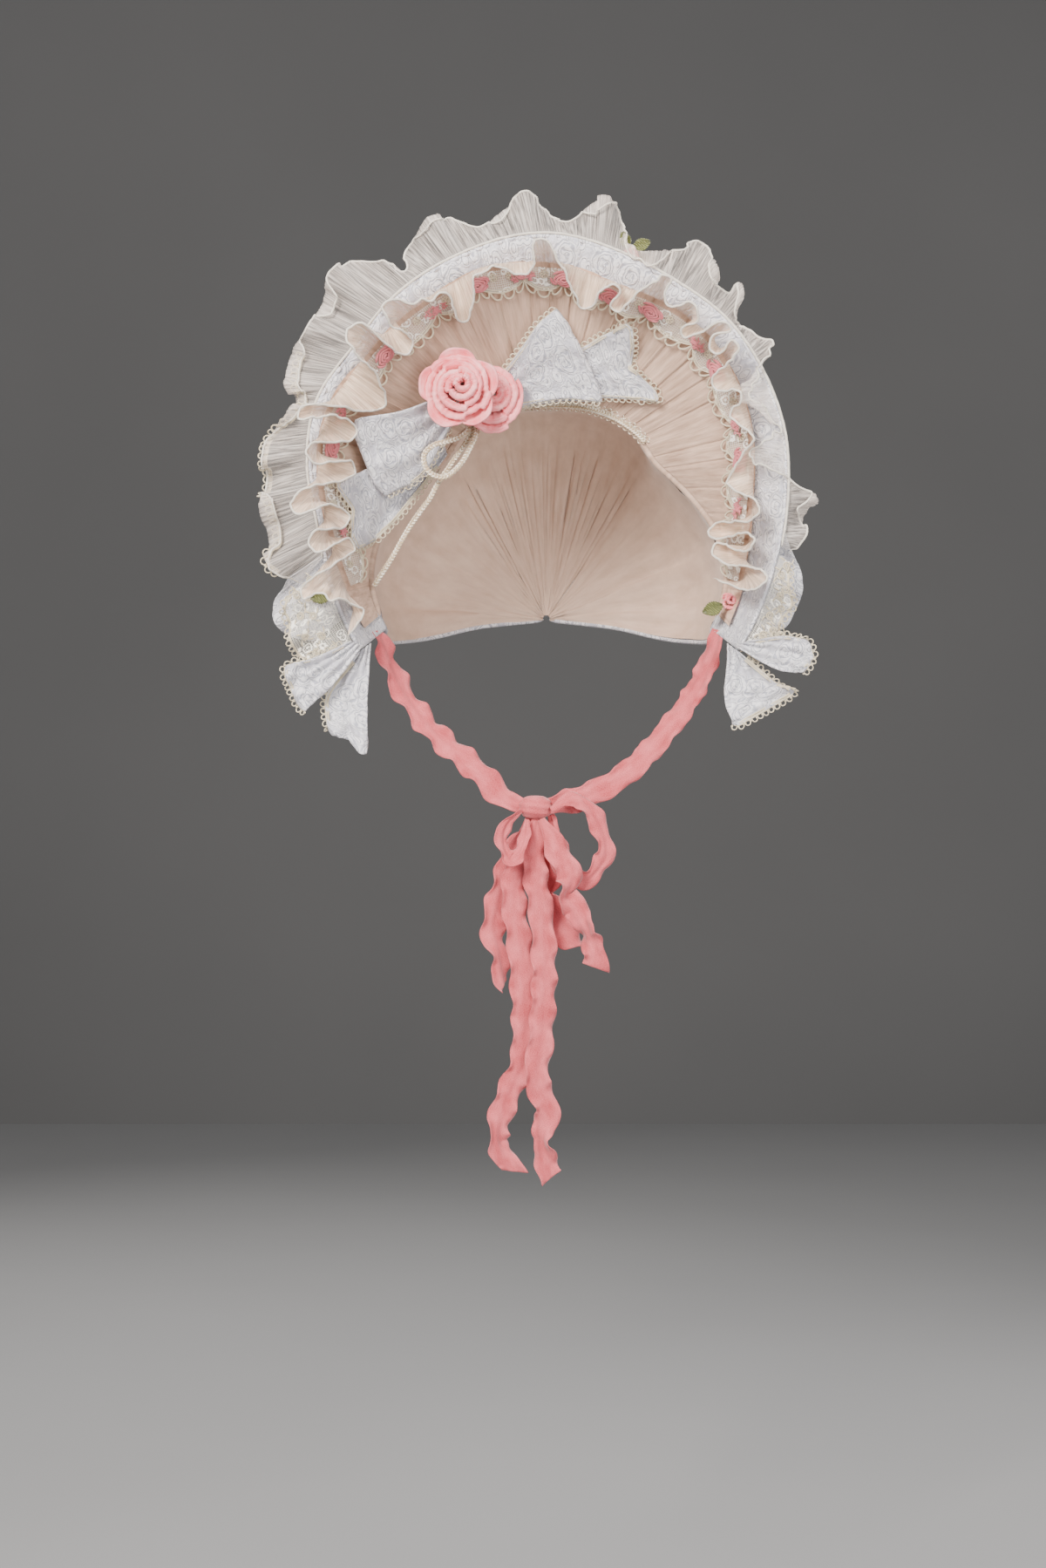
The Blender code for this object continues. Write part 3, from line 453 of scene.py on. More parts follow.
def before_brim(clock, reach, lift):
    """Points that stand in front of the brim's middle layer, which is held at its edges beyond
    them. Where the brim is steep, a layer close to it needs more depth for the same distance."""
    seat_reach = reach_of(SEAT, clock)
    seat_depth = depth_of(SEAT, clock)
    rim_reach = reach_of(RIM, clock)
    rim_depth = depth_of(RIM, clock)
    slope = (rim_depth - seat_depth) / (rim_reach - seat_reach)
    part = np.clip((reach - seat_reach) / (rim_reach - seat_reach), 0.0, 1.0)
    brim_depth = seat_depth + (rim_depth - seat_depth) * part
    steepness = np.hypot(1.0, slope)
    return place(clock, reach, brim_depth - lift - (steepness - 1) * np.minimum(lift, LAYER_REACH))


def unit(vectors):
    return vectors / np.maximum(np.linalg.norm(vectors, axis=-1, keepdims=True), 1e-9)


def grid_normals(grid):
    return unit(np.cross(np.gradient(grid, axis=1), np.gradient(grid, axis=0)))


# Meshes

def linked(name, data):
    """A new object in the scene."""
    made = bpy.data.objects.new(name, data)
    bpy.context.scene.collection.objects.link(made)
    return made


def piece(name, look, vertices, faces, uvs, stands_for=()):
    """A piece of the object from points in millimetres, riding on the part's one body."""
    mesh = bpy.data.meshes.new(name)
    mesh.from_pydata((MILLIMETRE * np.asarray(vertices, float)).tolist(), [],
                     np.asarray(faces).tolist())
    corners = np.empty(len(mesh.loops), np.int32)
    mesh.loops.foreach_get("vertex_index", corners)
    layer = mesh.uv_layers.new(name="UVMap")
    layer.data.foreach_set("uv", np.asarray(uvs, float)[corners].ravel())
    slot, material = look
    mesh.materials.append(material)
    mesh.shade_smooth()
    made = linked(name, mesh)
    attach(made, "root")
    if stands_for:
        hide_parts(*stands_for)
    return made


def grid_faces(rows, columns, closed=False):
    index = np.arange(rows * columns).reshape(rows, columns)
    if closed:
        index = np.concatenate((index, index[:, :1]), axis=1)
    return np.stack((index[:-1, :-1], index[:-1, 1:], index[1:, 1:], index[1:, :-1]),
                    axis=-1).reshape(-1, 4)


def measured_uvs(grid):
    """The cloth's own width and length at each point of a grid, in millimetres."""
    across = np.linalg.norm(np.diff(grid, axis=1), axis=2).max(axis=0)
    along = np.linalg.norm(np.diff(grid, axis=0), axis=2).mean(axis=1)
    u = np.concatenate(([0.0], np.cumsum(across)))
    v = np.concatenate(([0.0], np.cumsum(along)))
    return np.stack(np.meshgrid(u, v), axis=-1).reshape(-1, 2)


def grid_parts(grid):
    """A grid of points, rows by columns, as vertices, faces and uvs."""
    return grid.reshape(-1, 3), grid_faces(*grid.shape[:2]), measured_uvs(grid)


def cloth(name, look, grid, stands_for=(), thickness=0.0):
    """One layer of cloth over a grid of points, with a thickness if it is stiff."""
    made = piece(name, look, *grid_parts(grid), stands_for)
    if thickness:
        solid = made.modifiers.new("thickness", "SOLIDIFY")
        solid.thickness = MILLIMETRE * thickness
        solid.offset = 0.0
    return made


def thread_sides(points):
    """The two ways square to a thread at each of its points."""
    ahead = unit(np.gradient(points, axis=0))
    side = unit(np.cross(ahead, THREAD_BACK))
    return side, np.cross(side, ahead)


def square_to(line, wanted):
    """The wanted ways out of a line, turned until they are square to it."""
    ahead = unit(np.gradient(line, axis=0))
    return unit(wanted - ahead * np.sum(wanted * ahead, axis=1, keepdims=True))


def sweep(points, radius, sides=6):
    """A thread or cord along points, as vertices, faces and uvs."""
    points = np.asarray(points, float)
    side, out = thread_sides(points)
    turn = np.arange(sides) * 2 * math.pi / sides
    radius = np.broadcast_to(np.asarray(radius, float), (len(points),))[:, None, None]
    ring = radius * (side[:, None] * np.cos(turn)[:, None]
                     + out[:, None] * np.sin(turn)[:, None])
    vertices = (points[:, None] + ring).reshape(-1, 3)
    run = np.repeat(running_length(points), sides)
    round_it = np.tile(turn * float(radius.max()), len(points))
    return vertices, grid_faces(len(points), sides, closed=True), np.column_stack((run, round_it))


def joined(parts):
    """Several lots of vertices, faces and uvs as one."""
    vertices, faces, uvs = zip(*parts)
    starts = np.cumsum([0, *map(len, vertices[:-1])])
    shifted = [some + start for some, start in zip(faces, starts)]
    return np.concatenate(vertices), np.concatenate(shifted), np.concatenate(uvs)


def tapered(count, share=0.06):
    """A thread's girth along its length, drawn in at both ends."""
    at = np.linspace(0.0, 1.0, count)
    return np.clip(np.minimum(at, 1 - at) / share, 0.02, 1.0) ** 0.5


def edge_cord(name, look, line, radius, share=0.01):
    """A piping, binding or rolled hem along an edge, its ends drawn in over a share of it."""
    return piece(name, look, *sweep(line, radius * tapered(len(line), share)))


# Finishes

class Finish:
    """A procedural material being put together. Its coordinates are the cloth's millimetres."""

    def __init__(self, name, roughness=0.7, sheen=0.0):
        self.material = bpy.data.materials.new(name)
        self.material.use_nodes = True
        self.tree = self.material.node_tree
        self.shader = self.tree.nodes["Principled BSDF"]
        self.shader.inputs["Roughness"].default_value = roughness
        self.shader.inputs["Sheen Weight"].default_value = sheen
        self.shader.inputs["Sheen Roughness"].default_value = 0.4
        self.cloth = self.tree.nodes.new("ShaderNodeUVMap").outputs["UV"]

    def feed(self, socket, value):
        if isinstance(value, bpy.types.NodeSocket):
            self.tree.links.new(value, socket)
        else:
            socket.default_value = value

    def node(self, kind, output, settings, inputs):
        made = self.tree.nodes.new("ShaderNode" + kind)
        for key, value in settings.items():
            setattr(made, key, value)
        for key, value in inputs.items():
            self.feed(made.inputs[key], value)
        return made.outputs[output]

    def stretched(self, across, along):
        """The cloth's coordinates, scaled by two factors."""
        return self.vector("MULTIPLY", self.cloth, (across, along, 1.0))

    def noise(self, vector, scale, detail=3.0, roughness=0.55):
        return self.node("TexNoise", "Fac", {}, {"Vector": vector, "Scale": scale,
                                                 "Detail": detail, "Roughness": roughness})

    def cells(self, vector, scale, feature="F1", scatter=1.0):
        return self.node("TexVoronoi", "Distance", {"feature": feature},
                         {"Vector": vector, "Scale": scale, "Randomness": scatter})

    def bands(self, vector, scale, distortion=0.0, direction="X"):
        return self.node("TexWave", "Fac", {"bands_direction": direction},
                         {"Vector": vector, "Scale": scale, "Distortion": distortion,
                          "Detail": 2.0})

    def math(self, operation, first, second=0.0):
        return self.node("Math", 0, {"operation": operation}, {0: first, 1: second})

    def times(self, first, second):
        return self.math("MULTIPLY", first, second)

    def plus(self, first, second):
        return self.math("ADD", first, second)

    def sine(self, value):
        return self.math("SINE", value)

    def vector(self, operation, first, second):
        return self.node("VectorMath", 0, {"operation": operation}, {0: first, 1: second})

    def ranged(self, value, low, high, to_low=0.0, to_high=1.0):
        return self.node("MapRange", 0, {"clamp": True},
                         {"Value": value, "From Min": low, "From Max": high,
                          "To Min": to_low, "To Max": to_high})

    def mixed(self, share, first, second):
        return self.node("Mix", 2, {"data_type": "RGBA"}, {0: share, 6: first, 7: second})

    def shifted(self, vector, amount, scale):
        """Coordinates pushed about by noise."""
        push = self.node("TexNoise", "Color", {}, {"Vector": vector, "Scale": scale, "Detail": 2.0})
        centred = self.vector("SUBTRACT", push, (0.5, 0.5, 0.5))
        scaled = self.vector("MULTIPLY", centred, (amount, amount, amount))
        return self.vector("ADD", vector, scaled)

    def bump(self, height, millimetres, strength=1.0):
        normal = self.node("Bump", "Normal", {}, {"Height": height, "Strength": strength,
                                                  "Distance": MILLIMETRE * millimetres})
        self.feed(self.shader.inputs["Normal"], normal)

    def colour(self, value):
        self.feed(self.shader.inputs["Base Color"], value)

    def roughness(self, value):
        self.feed(self.shader.inputs["Roughness"], value)

    def alpha(self, value):
        self.feed(self.shader.inputs["Alpha"], value)


def jacquard_finish():
    """Pale blue satin jacquard: wound roses among leaves, tone on tone, over a fine twill."""
    made = Finish("blue_jacquard_cloth", 0.42, 0.25)
    pushed = made.shifted(made.cloth, 5.0, 0.16)
    settings = {"voronoi_dimensions": "2D"}
    centre = made.node("TexVoronoi", "Position", settings,
                       {"Vector": pushed, "Scale": 0.044, "Randomness": 0.7})
    local = made.vector("SUBTRACT", pushed, centre)
    parts = made.tree.nodes.new("ShaderNodeSeparateXYZ")
    made.feed(parts.inputs[0], local)
    angle = made.math("ARCTAN2", parts.outputs[1], parts.outputs[0])
    far = made.node("VectorMath", 1, {"operation": "LENGTH"}, {0: local})
    petal = made.times(made.sine(made.plus(made.times(angle, 3.0), made.times(far, 1.1))), 0.9)
    wound = made.plus(made.times(far, 1.35), made.plus(angle, petal))
    rose_line = made.ranged(made.math("ABSOLUTE", made.sine(wound)), 0.68, 0.3)
    in_rose = made.ranged(far, 9.5, 8.0)
    leaf = made.cells(made.shifted(made.stretched(0.17, 0.10), 0.5, 0.9), 1.0)
    leaf_line = made.ranged(made.math("ABSOLUTE", made.sine(made.times(leaf, 13.0))), 0.5, 0.15)
    in_leaf = made.ranged(leaf, 0.62, 0.54)
    figure = made.node("Mix", 0, {"data_type": "FLOAT"}, {0: in_rose, 2: in_leaf, 3: 1.0})
    line = made.node("Mix", 0, {"data_type": "FLOAT"},
                     {0: in_rose, 2: made.times(leaf_line, in_leaf), 3: rose_line})
    # The ground is lighter and darker in soft patches about 20 mm across.
    ground_mottle = made.noise(made.cloth, 0.05, 3.0)
    ground = made.mixed(made.ranged(ground_mottle, 0.36, 0.62), (0.50, 0.50, 0.57, 1),
                        (0.71, 0.69, 0.745, 1))
    raised = made.mixed(made.times(figure, 0.75), ground, (0.95, 0.93, 0.95, 1))
    made.colour(made.mixed(made.times(line, 0.76), raised, (0.33, 0.34, 0.42, 1)))
    twill = made.bands(made.cloth, 0.9, direction="DIAGONAL")
    made.roughness(made.ranged(figure, 0.0, 1.0, 0.40, 0.22))
    crushed = made.noise(made.cloth, 0.22, 4.0, 0.6)
    relief = made.plus(made.plus(figure, made.times(twill, 0.35)), made.times(crushed, 7.0))
    made.bump(made.math("SUBTRACT", relief, line), 0.3)
    return made.material


def chiffon_finish(name, light, deep, thinnest, thickest, ribs):
    """Crinkled chiffon: long fine ribs that wander, and a see-through weave."""
    made = Finish(name, 0.78, 0.3)
    ribbed = made.noise(made.stretched(ribs, 0.05), 1.0, 3.0, 0.6)
    soft = made.noise(made.stretched(0.12, 0.04), 1.0, 2.0)
    # The colour runs from deep to light with the ribs, which also make the bump, so the ribs'
    # hollows hold painted shade; the soft noise adds random tone.
    tone = made.plus(made.times(ribbed, 0.6), made.times(soft, 0.4))
    made.colour(made.mixed(made.ranged(tone, 0.35, 0.65), deep, light))
    made.alpha(made.ranged(ribbed, 0.32, 0.66, thinnest, thickest))
    made.bump(ribbed, 0.5, 0.9)
    return made.material


def thread_finish(name, light, deep, twist=1.6):
    """Twisted embroidery thread."""
    made = Finish(name, 0.62, 0.3)
    turns = made.bands(made.cloth, twist, 0.6, "DIAGONAL")
    blotch = made.noise(made.cloth, 0.4, 2.0)
    # The colour runs from deep to light with the twist's turns, which also make the bump, so the
    # grooves between the turns hold painted shade; the blotches add random tone.
    made.colour(made.mixed(made.times(turns, made.ranged(blotch, 0.2, 0.7)), deep, light))
    made.bump(turns, 0.15, 0.8)
    return made.material


def net_finish():
    """Fine lace ground: a hexagonal net with denser embroidered sprigs on it."""
    made = Finish("lace_net", 0.7, 0.2)
    net = made.cells(made.cloth, 0.75, "DISTANCE_TO_EDGE", 0.25)
    holes = made.ranged(net, 0.05, 0.14, 0.8, 0.12)
    pushed = made.shifted(made.cloth, 3.0, 0.3)
    sprig = made.cells(pushed, 0.16, scatter=0.8)
    petals = made.ranged(made.sine(made.times(sprig, 19.0)), 0.0, 0.4)
    dense = made.times(petals, made.ranged(sprig, 0.6, 0.45))
    made.alpha(made.math("MAXIMUM", holes, dense))
    made.colour(made.mixed(dense, (0.95, 0.90, 0.80, 1), (1.0, 0.96, 0.88, 1)))
    made.bump(dense, 0.4)
    return made.material


def petal_finish(name, light, deep):
    """Coral cloth in fine crushed ribs with a scatter of glitter."""
    made = Finish(name, 0.5, 0.35)
    ribs = made.noise(made.stretched(0.10, 1.1), 1.0, 3.0, 0.6)
    shade = made.noise(made.cloth, 0.09, 2.0)
    # The colour runs from deep to light with the crushed ribs, which also make the bump, so the
    # ribs' hollows hold painted shade; the shade noise adds larger soft patches.
    cloth_colour = made.mixed(made.ranged(made.plus(ribs, shade), 0.75, 1.3), deep, light)
    speck = made.ranged(made.cells(made.cloth, 1.5), 0.16, 0.1)
    chosen = made.ranged(made.noise(made.cloth, 0.8, 1.0), 0.5, 0.56)
    glitter = made.times(speck, chosen)
    made.colour(made.mixed(glitter, cloth_colour, (1.0, 0.80, 0.78, 1)))
    made.roughness(made.ranged(glitter, 0.0, 1.0, 0.62, 0.18))
    made.bump(ribs, 0.55, 0.9)
    return made.material


def georgette_finish():
    """Pink crepe georgette, matt and slightly see-through."""
    made = Finish("tie_georgette", 0.85, 0.35)
    crepe = made.noise(made.cloth, 1.6, 3.0, 0.7)
    wash = made.noise(made.stretched(0.05, 0.12), 1.0, 2.0)
    # The colour runs from deep to light pink with the crepe, which also makes the bump, so the
    # crepe's pits hold painted shade; the wash adds larger soft patches.
    made.colour(made.mixed(made.ranged(made.plus(crepe, wash), 0.7, 1.3),
                           (0.46, 0.05, 0.06, 1), (0.80, 0.185, 0.205, 1)))
    made.alpha(made.ranged(crepe, 0.3, 0.6, 0.85, 1.0))
    made.bump(crepe, 0.4, 0.8)
    return made.material


def leaf_finish():
    made = Finish("leaf_cloth", 0.6, 0.2)
    veins = made.bands(made.cloth, 0.35, 1.2, "DIAGONAL")
    shade = made.noise(made.cloth, 0.3, 3.0)
    made.colour(made.mixed(made.times(veins, shade), (0.07, 0.085, 0.02, 1),
                           (0.34, 0.34, 0.11, 1)))
    made.bump(veins, 0.3)
    return made.material


class Finishes:
    """Every finish of the bonnet, each with the slot that it stands for."""

    def __init__(self):
        self.jacquard = Look("blue_jacquard", jacquard_finish())
        # Each deep colour below is laid by its finish into the hollows of the cloth's fine relief,
        # as painted shade, and in random patches of tone.
        self.rim_chiffon = Look("ivory_chiffon", chiffon_finish(
            "rim_chiffon", light=(1.0, 0.92, 0.85, 1), deep=(0.90, 0.77, 0.68, 1),
            thinnest=0.06, thickest=0.56, ribs=0.6))
        self.inner_chiffon = Look("ivory_chiffon", chiffon_finish(
            "inner_chiffon", light=(0.88, 0.68, 0.52, 1), deep=(0.62, 0.43, 0.30, 1),
            thinnest=0.58, thickest=0.95, ribs=0.55))
        # The lining's deep colour is its pleats' shade: its fine radial streaks are painted pleat
        # shadows.
        self.lining = Look("lining_chiffon", chiffon_finish(
            "lining_chiffon_cloth", light=(0.70, 0.49, 0.37, 1), deep=(0.42, 0.27, 0.19, 1),
            thinnest=1.0, thickest=1.0, ribs=0.35))
        self.crown_lining = Look("lining_chiffon", chiffon_finish(
            "crown_lining_cotton", light=(0.70, 0.52, 0.41, 1), deep=(0.58, 0.41, 0.31, 1),
            thinnest=1.0, thickest=1.0, ribs=0.07))
        self.hem = Look("ivory_chiffon", thread_finish(
            "rolled_hem", light=(0.97, 0.92, 0.83, 1), deep=(0.88, 0.81, 0.70, 1)))
        self.thread = Look("ivory_lace", thread_finish(
            "ivory_thread", light=(1.0, 0.93, 0.75, 1), deep=(0.78, 0.65, 0.44, 1)))
        self.pink_thread = Look("rose_pink", thread_finish(
            "pink_thread", light=(0.93, 0.36, 0.38, 1), deep=(0.66, 0.14, 0.17, 1), twist=1.1))
        self.braid = Look("ivory_lace", thread_finish(
            "gimp_braid", light=(1.0, 0.95, 0.84, 1), deep=(0.46, 0.33, 0.19, 1), twist=0.2))
        self.net = Look("ivory_lace", net_finish())
        self.petal = Look("rose_pink", petal_finish(
            "rose_cloth", light=(1.0, 0.44, 0.45, 1), deep=(0.86, 0.15, 0.18, 1)))
        self.georgette = Look("tie_pink", georgette_finish())
        self.leaf = Look("leaf_green", leaf_finish())


# Brim, lining and crown

def make_brim(finish):
    """The stiff brim, bound at its rim with a piped edge and slightly ruched."""
    clocks = np.linspace(-BRIM_END, BRIM_END, BRIM_COLUMNS)
    seat = reach_of(SEAT, clocks)
    rim = reach_of(RIM, clocks)
    ruche = 0.5 * drift(clocks, 2.2, 3) + 0.3 * np.sin(clocks * 2.1)
    rows = [before_brim(clocks, seat + (rim - seat) * part, ruche * part ** 3)
            for part in np.linspace(0.0, 1.0, 17)]
    cloth("brim_cloth", finish.jacquard, np.stack(rows), ("brim",), BRIM_THICKNESS)
    edge_cord("brim_piping", finish.jacquard, before_brim(clocks, rim - 0.4, 0.0), RIM_PIPING)


def make_lining(finish):
    """Gathered chiffon from the head edge out to the sewing line, in uneven soft pleats."""
    end = BRIM_END - LINING_MARGIN
    clocks = np.linspace(-end, end, LINING_COLUMNS)
    inner = reach_of(SEAT, clocks) + LINING_LAP
    outer = reach_of(SEWING_LINE, clocks) + LINING_LAP
    phase = clocks / PLEAT_PITCH + 0.35 * drift(clocks, 11.0, 5)
    pleats = (phase - np.floor(phase)) ** 0.45
    fine = drift(clocks, 1.4, 8)
    rows = []
    for part in np.linspace(0.0, 1.0, 15):
        wander = 1.1 * part * drift(clocks, 7.0, 12)
        height = PLEAT_HEIGHT * pleats * (0.5 + 0.5 * part) + 0.3 * fine
        rows.append(before_brim(clocks + wander, inner + (outer - inner) * part,
                                LINING_LIFT - 0.6 + height))
    edge_cord("head_edge_binding", finish.lining, before_brim(clocks, inner - 0.9, 1.0),
              HEAD_EDGE_BINDING)
    made = cloth("lining_cloth", finish.lining, np.stack(rows), ("brim_lining",))


def make_crown(finish):
    """The cap behind the seat, gathered in to the nape and open to the neck."""
    clocks = np.linspace(-BRIM_END, BRIM_END, CROWN_COLUMNS)
    seat = place(clocks, reach_of(SEAT, clocks), 0.0)
    seat_depth = depth_of(SEAT, clocks)
    folds = (np.sin(np.radians(clocks * 15) + 2 * drift(clocks, 14, 21))
             + 0.5 * drift(clocks, 4.5, 22))
    gathers = drift(clocks, 2.4, 23) + 0.5 * drift(clocks, 1.2, 24)
    front = CROWN[0]
    rows = []
    for part in np.linspace(0.0, 1.0, CROWN_ROWS):
        deep = 0.022 * max((part - 0.3) / 0.7, 0.0) ** 1.3
        fine = 0.014 * math.exp(-part / 0.13) + 0.05 * max((part - 0.55) / 0.45, 0.0) ** 1.5
        gather = 1 + deep * folds + fine * gathers
        depth, width, height, middle = (read_table(CROWN, "part", name, part)
                                        for name in Section._fields[1:])
        rows.append(np.column_stack((
            seat[:, 0] * (width * gather),
            depth + (seat_depth + 1.5 - front.depth) * (1 - part) ** 3,
            middle + (seat[:, 2] - front.middle) * (height * gather))))
    outside = np.stack(rows)
    cloth("crown_cloth", finish.jacquard, outside, ("crown",), CROWN_THICKNESS)
    normals = grid_normals(outside)
    outward = outside - np.array((0.0, 30.0, front.middle))
    away = np.sign(np.sum(normals * outward, axis=2, keepdims=True))
    gap = 1.5 + 0.5 * crumple(CROWN_ROWS, CROWN_COLUMNS, (6, 60), 25)[..., None]
    inside = outside - normals * away * gap
    cloth("crown_lining", finish.crown_lining, inside[:, ::2])
    seam = before_brim(clocks, reach_of(SEAT, clocks) + 0.8, BEHIND_BRIM)
    edge_cord("crown_seam_piping", finish.jacquard, seam, SEAM_PIPING)
    for side, column in (("left", 0), ("right", -1)):
        edge_cord("crown_%s_binding" % side, finish.jacquard,
                  spread_evenly(outside[:, column], 160), NECK_BINDING, 0.02)


# Ruffles

def gathered_clocks(hem_clocks, ends, window):
    """Clock angles along a sewing line under a hem: the hem's own, averaged over its folds."""
    weights = np.hanning(window + 2)[1:-1]
    padded = np.pad(hem_clocks, window // 2, mode="edge")
    mean = np.convolve(padded, weights / weights.sum(), mode="valid")[:len(hem_clocks)]
    rising = np.maximum.accumulate(mean) + np.linspace(0.0, 1.0, len(mean))
    return ends[0] + (rising - rising[0]) * (ends[1] - ends[0]) / (rising[-1] - rising[0])


def crinkled(grid, flutter, crinkle, seed):
    """Cloth that flutters towards its hem and is crinkled all over in fine ribs."""
    run = running_length(grid[-1])
    share = np.linspace(0.0, 1.0, len(grid))[:, None]
    normals = grid_normals(grid)
    wave = flutter * share ** 1.6 * (drift(run, 7.0, seed) + 0.5 * drift(run, 3.6, seed + 1))
    ribs = crinkle * (0.35 + 0.65 * share) * drift(run, 1.1, seed + 2)
    return grid + normals * (wave + ribs)[..., None]


def rolled_over(grid, width, forward, seed):
    """A frill whose hem rolls over to its front here and there, so that it lies double."""
    run = running_length(grid[-1])
    roll = np.clip(1.4 * drift(run, 24.0, seed) + 0.1, 0.0, 1.0)[:, None]
    foot = grid[0]
    hem = grid[-1]
    back = unit(foot - hem)
    fold = 1 - 0.34 * roll
    rows = []
    for share in np.linspace(0.0, 1.0, len(grid)):
        turned = np.clip((share - fold) / np.maximum(1 - fold, 1e-6), 0.0, 1.0)
        out = foot + (hem - foot) * np.minimum(share / fold, 1.0)
        rows.append(out + roll * (width * back * turned ** 1.5
                                  + forward * FRONT * np.sin(0.62 * math.pi * turned ** 0.6)))
    return np.stack(rows)


def frill_grid(hem_rows, ends, columns, inset, window, rows=16, head=0.0, sway=1.0):
    """A frill sewn along the brim's edge, whose hem swings out, in, forward and back."""
    level = np.mean([row.back for row in hem_rows])
    turns = [place(row.clock, row.reach, level + sway * (row.back - level)) for row in hem_rows]
    if head:
        turns = rounded_turns(turns, head, share=0.42)
    hem = curve_through(turns, columns)
    clocks = clock_and_reach(hem[:, 0], hem[:, 2])[0]
    hem[:, 1] += depth_of(RIM, clocks)
    foot_clocks = gathered_clocks(clocks, ends, window)
    rim = reach_of(RIM, foot_clocks)
    if inset:
        foot = before_brim(foot_clocks, rim - inset, BEHIND_BRIM)
    else:
        foot = place(foot_clocks, rim + RIM_LAP, depth_of(RIM, foot_clocks))
    return np.stack([foot + (hem - foot) * share for share in np.linspace(0.0, 1.0, rows)])


def make_rim_ruffle(finish):
    """The sheer ruffle round the brim's edge, with a corded heading and lace on its left."""
    grid = frill_grid(RIM_HEM, RIM_RUFFLE_ENDS, RIM_RUFFLE_COLUMNS, inset=0.0, window=107,
                      rows=25, head=5.5, sway=1.5)
    grid = rolled_over(grid, width=9.0, forward=4.5, seed=35)
    grid = crinkled(grid, flutter=1.3, crinkle=0.22, seed=31)
    made = cloth("rim_ruffle_cloth", finish.rim_chiffon, grid, ("rim_ruffle",))
    hem = edge_cord("rim_ruffle_hem", finish.hem, grid[-1, ::2], RIM_HEM_RADIUS)
    clocks = np.linspace(*RIM_RUFFLE_ENDS, HEADING_COLUMNS)
    heading = before_brim(clocks, reach_of(RIM, clocks) + RIM_LAP, 1.0)
    heading = heading + np.outer(0.5 * drift(np.arange(HEADING_COLUMNS), 4.0, 33), BACK)
    edge_cord("rim_ruffle_heading", finish.hem, heading, HEADING_RADIUS)
    clocks = clock_and_reach(grid[-1][:, 0], grid[-1][:, 2])[0]
    for name, low, high in (("left", -112.0, -84.0), ("low_left", -84.0, -66.0)):
        chosen = (clocks > low) & (clocks < high)
        line = grid[-2][chosen] + 3.0 * BACK
        lace_along("rim_ruffle_lace_" + name, finish, line, (0.0, line[:, 1].mean(), -45.0),
                   pitch=4.6, size=4.2, thread=0.42)


def make_inner_ruffle(finish):
    """The ruffle that stands on the brim's front, its hem in S folds over the lace."""
    turns = [place(row.clock, row.reach, 0.0) for row in INNER_HEM]
    turns = rounded_turns(turns, width=4.6, share=0.36)
    hem = curve_through(turns, INNER_RUFFLE_COLUMNS)
    clocks, reaches = clock_and_reach(hem[:, 0], hem[:, 2])
    foot_clocks = gathered_clocks(clocks, INNER_RUFFLE_ENDS, window=111)
    foot_reaches = reach_of(SEWING_LINE, foot_clocks)
    swing = reaches - foot_reaches
    lift = np.sqrt(np.maximum(INNER_RUFFLE_WIDTH ** 2 - swing ** 2, LEAST_RUFFLE_LIFT ** 2))
    foot = place(foot_clocks, foot_reaches, 0.0)
    rows = []
    for part in np.linspace(0.0, 1.0, 17):
        level = RUFFLE_FOOT_LIFT + (lift - RUFFLE_FOOT_LIFT) * part ** 0.8
        spot = foot + (hem - foot) * part ** 1.5
        spot_clocks, spot_reaches = clock_and_reach(spot[:, 0], spot[:, 2])
        rows.append(before_brim(spot_clocks, spot_reaches, level))
    grid = crinkled(np.stack(rows), flutter=1.0, crinkle=0.2, seed=41)
    made = cloth("inner_ruffle_cloth", finish.inner_chiffon, grid, ("inner_ruffle",))
    edge = edge_cord("inner_ruffle_hem", finish.hem, grid[-1, ::2], INNER_HEM_RADIUS)


# Lace

def loop_of_thread(centre, ahead, out, radius, thread, start=-35.0, end=215.0):
    """One round picot, open towards the edge that carries it."""
    turn = np.radians(np.linspace(start, end, 13))[:, None]
    points = centre + radius * (ahead * np.cos(turn) + out * np.sin(turn))
    return sweep(points, thread, THREAD_SIDES)


def bead_of_thread(centre, radius):
    """A little knot of thread, a low ball of five rings."""
    height = np.linspace(-0.9, 0.9, 5)
    points = centre + np.outer(height * radius, (1.0, 0.0, 0.0))
    return sweep(points, radius * np.sqrt(1 - height ** 2), THREAD_SIDES)


def picot_trim(line, outward, pitch, size, thread, knots=True):
    """A narrow lace edge: two threads side by side, round picots and a knot between each two."""
    run = running_length(line)
    count = max(2, int(run[-1] / pitch))
    girth = thread * tapered(len(line), 0.02)
    parts = [sweep(line, 1.25 * girth, THREAD_SIDES),
             sweep(line - outward * 1.5 * thread, girth, THREAD_SIDES)]
    ahead = unit(np.gradient(line, axis=0))
    for number in range(count):
        for share, is_knot in ((0.5, False), (1.0, True)):
            index = int(np.searchsorted(run, (number + share) / count * run[-1]))
            index = min(index, len(line) - 1)
            if is_knot and knots:
                parts.append(bead_of_thread(line[index] + outward[index] * size * 0.3, thread * 2))
            elif not is_knot:
                centre = line[index] + outward[index] * size * 0.36
                parts.append(loop_of_thread(centre, ahead[index], outward[index], size / 2,
                                            thread))
    return joined(parts)


def hung_loop(left, right, out, depth, thread):
    """A U of thread hung between two places of an edge."""
    turn = np.linspace(0.0, math.pi, 15)[:, None]
    return sweep((left + right) / 2 - (right - left) / 2 * np.cos(turn)
                 + out * depth * np.sin(turn) ** 0.8, thread, THREAD_SIDES)


def daisy(middle, along, out, face, size, thread):
    """A thread flower of six looped petals round a knot."""
    parts = [bead_of_thread(middle + face * 0.5, 2.2 * thread)]
    for petal in range(6):
        heading = math.pi * petal / 3 + 0.3
        aim = along * math.cos(heading) + out * math.sin(heading)
        parts.append(loop_of_thread(middle + aim * size * 0.62 + face * 0.3,
                                    np.cross(face, aim), aim, size * 0.36, thread,
                                    start=-60.0, end=240.0))
    return parts


